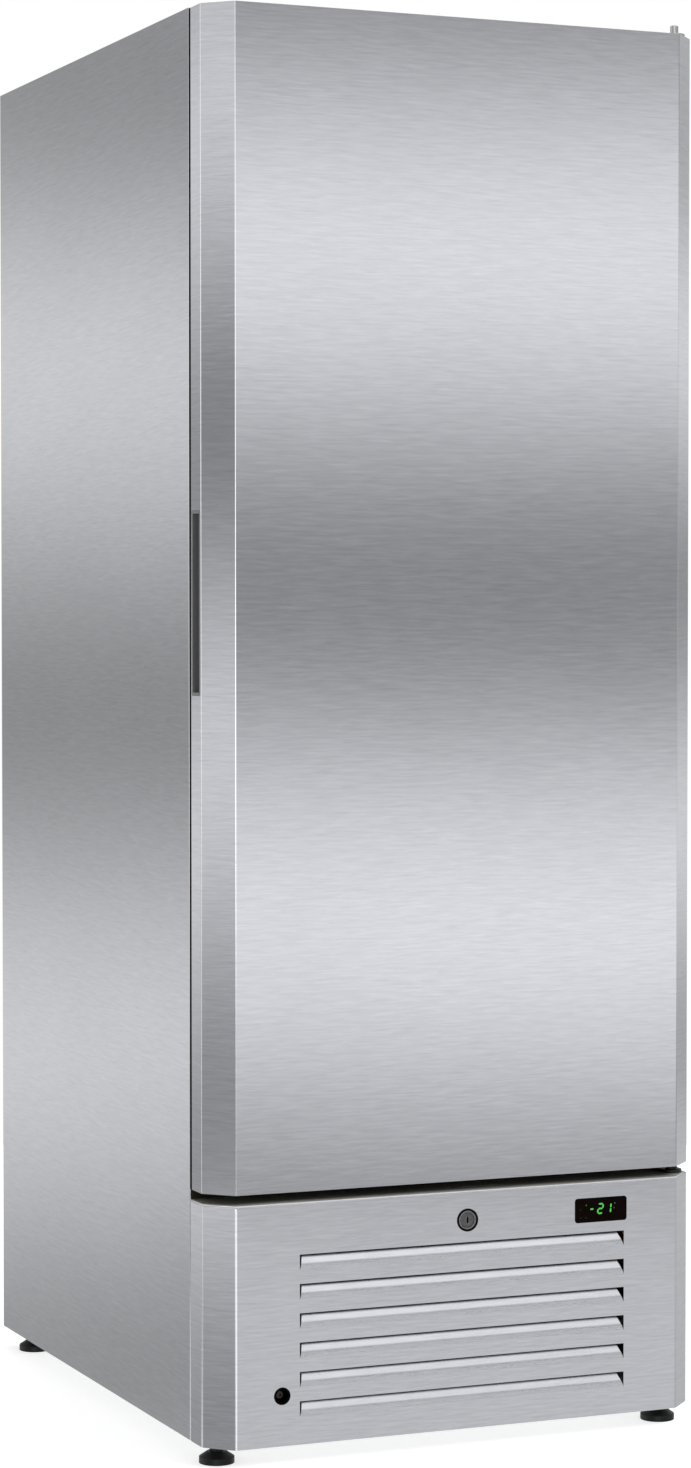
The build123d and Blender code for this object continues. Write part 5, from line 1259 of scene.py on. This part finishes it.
class FREEZER_OT_inside(bpy.types.Operator):
    """Dress the liner, the rails and the evaporator chamber"""

    bl_idname = "freezer.inside"
    bl_label = "Inside"

    def execute(self, context):
        edge = settings()[2].moulded_edge
        dress_all((
            ("inner_liner", "steel_liner", "liner_steel", 4 * edge),
            ("breaker_strip", "grey_plastic", "grey_plastic", edge),
            ("shelf_pilasters", "steel_upright", "stainless", edge / 2),
            ("shelf_clips", "zinc_steel", "zinc_steel", edge / 2),
        ))
        self.shelves()
        self.rail_slot_shades()
        dress("evaporator_cover", "steel_liner", "liner_steel", edge / 2)
        dress("evaporator_drip_pan", "fin_aluminium", "fin_aluminium", edge)
        dress("evaporator_coil", "copper", "copper")
        fin_stack("evaporator_fins", 100, "fin_aluminium")
        finish_nodes(("defrost_heater",), "zinc_steel")
        finish_nodes(("drain_hose",), "black_rubber")
        dress("evaporator_fan_motor", "black_enamel", "black_enamel", edge)
        fan("evaporator_fan_blade")
        return {"FINISHED"}

    def shelves(self):
        """Round wire shelves: a rim with bent corners, thin wires and three bars under them."""
        low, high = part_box("wire_shelf_1")
        own = settings()[2]
        sizes = {
            "Width": high.x - low.x, "Depth": high.y - low.y, "Wires": own.shelf_wires,
            "Wire": own.shelf_wire, "Rim": own.shelf_rim, "Corner": 0.014,
            "Finish": finish_named("shelf_coating"),
        }
        tree, given = start_tree("wire_shelf", sizes)
        span = minus(tree, given["Width"], given["Rim"])
        reach = minus(tree, given["Depth"], given["Rim"])
        round_rim = shape(tree, "GeometryNodeCurvePrimitiveCircle", {
            "Resolution": 12, "Radius": times(tree, given["Rim"], 0.5)})
        round_wire = shape(tree, "GeometryNodeCurvePrimitiveCircle", {
            "Resolution": 10, "Radius": times(tree, given["Wire"], 0.5)})
        outline = shape(tree, "GeometryNodeCurvePrimitiveQuadrilateral", {"Width": span, "Height": reach})
        outline = shape(
            tree, "GeometryNodeFilletCurve", {"Curve": outline, "Count": 6, "Radius": given["Corner"]},
            mode="POLY",
        )
        rim = shape(tree, "GeometryNodeCurveToMesh", {"Curve": outline, "Profile Curve": round_rim})
        rim = shape(tree, "GeometryNodeTransform", {
            "Geometry": rim,
            "Translation": place_of(tree, z=times(tree, given["Rim"], -0.5))})
        step = share(tree, span, plus(tree, given["Wires"], 1.0))
        half_reach = times(tree, reach, 0.5)
        wire_drop = times(tree, given["Wire"], -0.5)
        wire = shape(tree, "GeometryNodeCurveToMesh", {
            "Curve": shape(tree, "GeometryNodeCurvePrimitiveLine", {
                "Start": place_of(tree, y=times(tree, half_reach, -1.0), z=wire_drop),
                "End": place_of(tree, y=half_reach, z=wire_drop)}),
            "Profile Curve": round_wire, "Fill Caps": True})
        row = shape(tree, "GeometryNodeMeshLine", {
            "Count": given["Wires"],
            "Start Location": place_of(
                tree, plus(tree, times(tree, span, -0.5), step)),
            "Offset": place_of(tree, step)})
        wires = shape(tree, "GeometryNodeInstanceOnPoints", {"Points": row, "Instance": wire})
        half_span = times(tree, span, 0.5)
        bar_drop = minus(tree, times(tree, given["Wire"], 0.5), given["Rim"])
        bar = shape(tree, "GeometryNodeCurveToMesh", {
            "Curve": shape(tree, "GeometryNodeCurvePrimitiveLine", {
                "Start": place_of(tree, times(tree, half_span, -1.0), z=bar_drop),
                "End": place_of(tree, half_span, z=bar_drop)}),
            "Profile Curve": round_wire, "Fill Caps": True})
        bar_step = share(tree, reach, 4.0)
        bars = shape(tree, "GeometryNodeInstanceOnPoints", {
            "Points": shape(tree, "GeometryNodeMeshLine", {
                "Count": 3, "Start Location": place_of(tree, y=times(tree, bar_step, -1.0)),
                "Offset": place_of(tree, y=bar_step)}),
            "Instance": bar})
        end_tree(tree, [rim, wires, bars], given["Finish"])
        for number in range(1, 5):
            node = f"wire_shelf_{number}"
            low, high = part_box(node)
            middle = ((low.x + high.x) / 2, (low.y + high.y) / 2, high.z)
            mesh = grown(node + "_finished", tree, sizes, middle)
            place_piece(node + "_finished", mesh, None, body_of_node(node), (node,))

    def rail_slot_shades(self):
        """Dark slots at an even pitch up the four shelf rails: thin black plates on the rail, painted shade
        in place of open slots.
        """
        low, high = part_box("shelf_pilasters")
        sizes = {
            "Height": high.z - low.z, "Pitch": 0.0254, "Slot": 0.011, "Slot Height": 0.0045,
            "Finish": finish_named("black_paint"),
        }
        tree, given = start_tree("rail_slot_shades", sizes)
        count = calculate(tree, "FLOOR", share(tree, given["Height"], given["Pitch"]))
        # Each slot is a thin black plate, painted shade for the dark inside an open slot.
        slot = shape(tree, "GeometryNodeMeshCube", {
            "Size": place_of(tree, 0.00008, given["Slot"], given["Slot Height"])})
        row = shape(tree, "GeometryNodeMeshLine", {
            "Count": count, "Start Location": place_of(tree, z=times(tree, given["Pitch"], 0.5)),
            "Offset": place_of(tree, z=given["Pitch"])})
        end_tree(
            tree, [shape(tree, "GeometryNodeInstanceOnPoints", {"Points": row, "Instance": slot})],
            given["Finish"], smooth=False,
        )
        depth, half_width = 0.008, 0.010
        for side, x in (("left", low.x + depth), ("right", high.x - depth)):
            for row_name, y in (("front", low.y + half_width), ("rear", high.y - half_width)):
                name = f"rail_slot_shades_{side}_{row_name}"
                place_piece(
                    name, grown(name, tree, sizes, (x, y, low.z)), None, body_of_node("shelf_pilasters"),
                )


class FREEZER_OT_condensing_unit(bpy.types.Operator):
    """Dress the condensing unit and the back of its compartment"""

    bl_idname = "freezer.condensing_unit"
    bl_label = "Condensing Unit"

    def execute(self, context):
        edge = settings()[2].moulded_edge
        dress("condenser_coil", "black_paint", "black_enamel")
        fin_stack("condenser_fins", 130, "black_paint")
        dress("condenser_shroud", "galvanised", "galvanised", edge)
        dress("condenser_fan_motor", "black_enamel", "black_enamel", edge)
        fan("condenser_fan_blade")
        dress_all((
            ("compressor", "black_enamel", "black_enamel", 4 * edge),
            ("compressor_mounts", "black_rubber", "black_rubber", edge),
            ("compressor_start_box", "grey_plastic", "grey_plastic", edge),
            ("evaporation_tray", "grey_plastic", "grey_plastic", edge),
            ("electrical_box", "enclosure", "enclosure", 2 * edge),
            ("refrigerant_pipes", "dull_copper", "copper"),
            ("rear_grille", "galvanised", "galvanised", edge),
        ))
        self.grille_hoods()
        dress("cable_gland", "nylon", "nylon", edge)
        return {"FINISHED"}

    def grille_hoods(self):
        """A flat tilted blade over each slot of the rear grille."""
        low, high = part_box("rear_grille")
        sizes = {
            "Columns": 2, "Rows": 9, "Across": 0.314, "Up": 8 * 0.022, "Width": 0.280, "Height": 0.0095,
            "Sheet": 0.0009, "Tilt": radians(32.0), "Finish": finish_named("galvanised"),
        }
        tree, given = start_tree("grille_hoods", sizes)
        places = shape(tree, "GeometryNodeMeshGrid", {
            "Size X": given["Across"], "Size Y": given["Up"], "Vertices X": given["Columns"],
            "Vertices Y": given["Rows"]})
        hood = shape(tree, "GeometryNodeMeshCube", {
            "Size": place_of(tree, given["Width"], given["Height"], given["Sheet"])})
        hood = shape(tree, "GeometryNodeTransform", {
            "Geometry": hood, "Rotation": place_of(tree, given["Tilt"])})
        hoods = shape(tree, "GeometryNodeInstanceOnPoints", {"Points": places, "Instance": hood})
        end_tree(tree, [hoods], given["Finish"], smooth=False)
        lip = sizes["Height"] / 2
        sheet, touch = 0.0012, 0.0004
        margin, lift = 0.040, 0.0018  # below the lowest slot, and above its middle
        place = (
            0.0, low.y + sheet + lip * sin(sizes["Tilt"]) + touch,
            low.z + margin + sizes["Up"] / 2 + lift,
        )
        mesh = grown("grille_hoods", tree, sizes, place, (radians(90.0), 0.0, 0.0))
        place_piece("grille_hoods", mesh, None, body_of_node("rear_grille"))


class FREEZER_PT_pieces(bpy.types.Panel):
    """The pieces of the freezer, in the order in which they are made"""

    bl_label = "Upright Freezer"
    bl_idname = "FREEZER_PT_pieces"
    bl_space_type = "VIEW_3D"
    bl_region_type = "UI"
    bl_category = "Freezer"

    def draw(self, context):
        layout = self.layout
        for operator in piece_operators:
            layout.operator(operator.bl_idname)
        for group in settings():
            box = layout.box()
            for key in group.__annotations__:
                box.prop(group, key)


piece_operators = (
    FREEZER_OT_stage,
    FREEZER_OT_skins,
    FREEZER_OT_door_parts,
    FREEZER_OT_hardware,
    FREEZER_OT_feet,
    FREEZER_OT_inside,
    FREEZER_OT_condensing_unit,
)
classes = (FreezerStage, FreezerFinish, FreezerSizes, *piece_operators, FREEZER_PT_pieces)


def register():
    """Registers the classes and the settings."""
    for each in classes:
        bpy.utils.register_class(each)
    bpy.types.Scene.freezer_stage = PointerProperty(type=FreezerStage)
    bpy.types.Scene.freezer_finish = PointerProperty(type=FreezerFinish)
    bpy.types.Scene.freezer_sizes = PointerProperty(type=FreezerSizes)


def unregister():
    """Takes the settings and the classes away."""
    del bpy.types.Scene.freezer_sizes
    del bpy.types.Scene.freezer_finish
    del bpy.types.Scene.freezer_stage
    for each in reversed(classes):
        bpy.utils.unregister_class(each)


def main():
    """Makes every piece in order."""
    register()
    for operator in piece_operators:
        getattr(bpy.ops.freezer, operator.bl_idname.split(".")[1])()


if __name__ == "__main__":
    main()
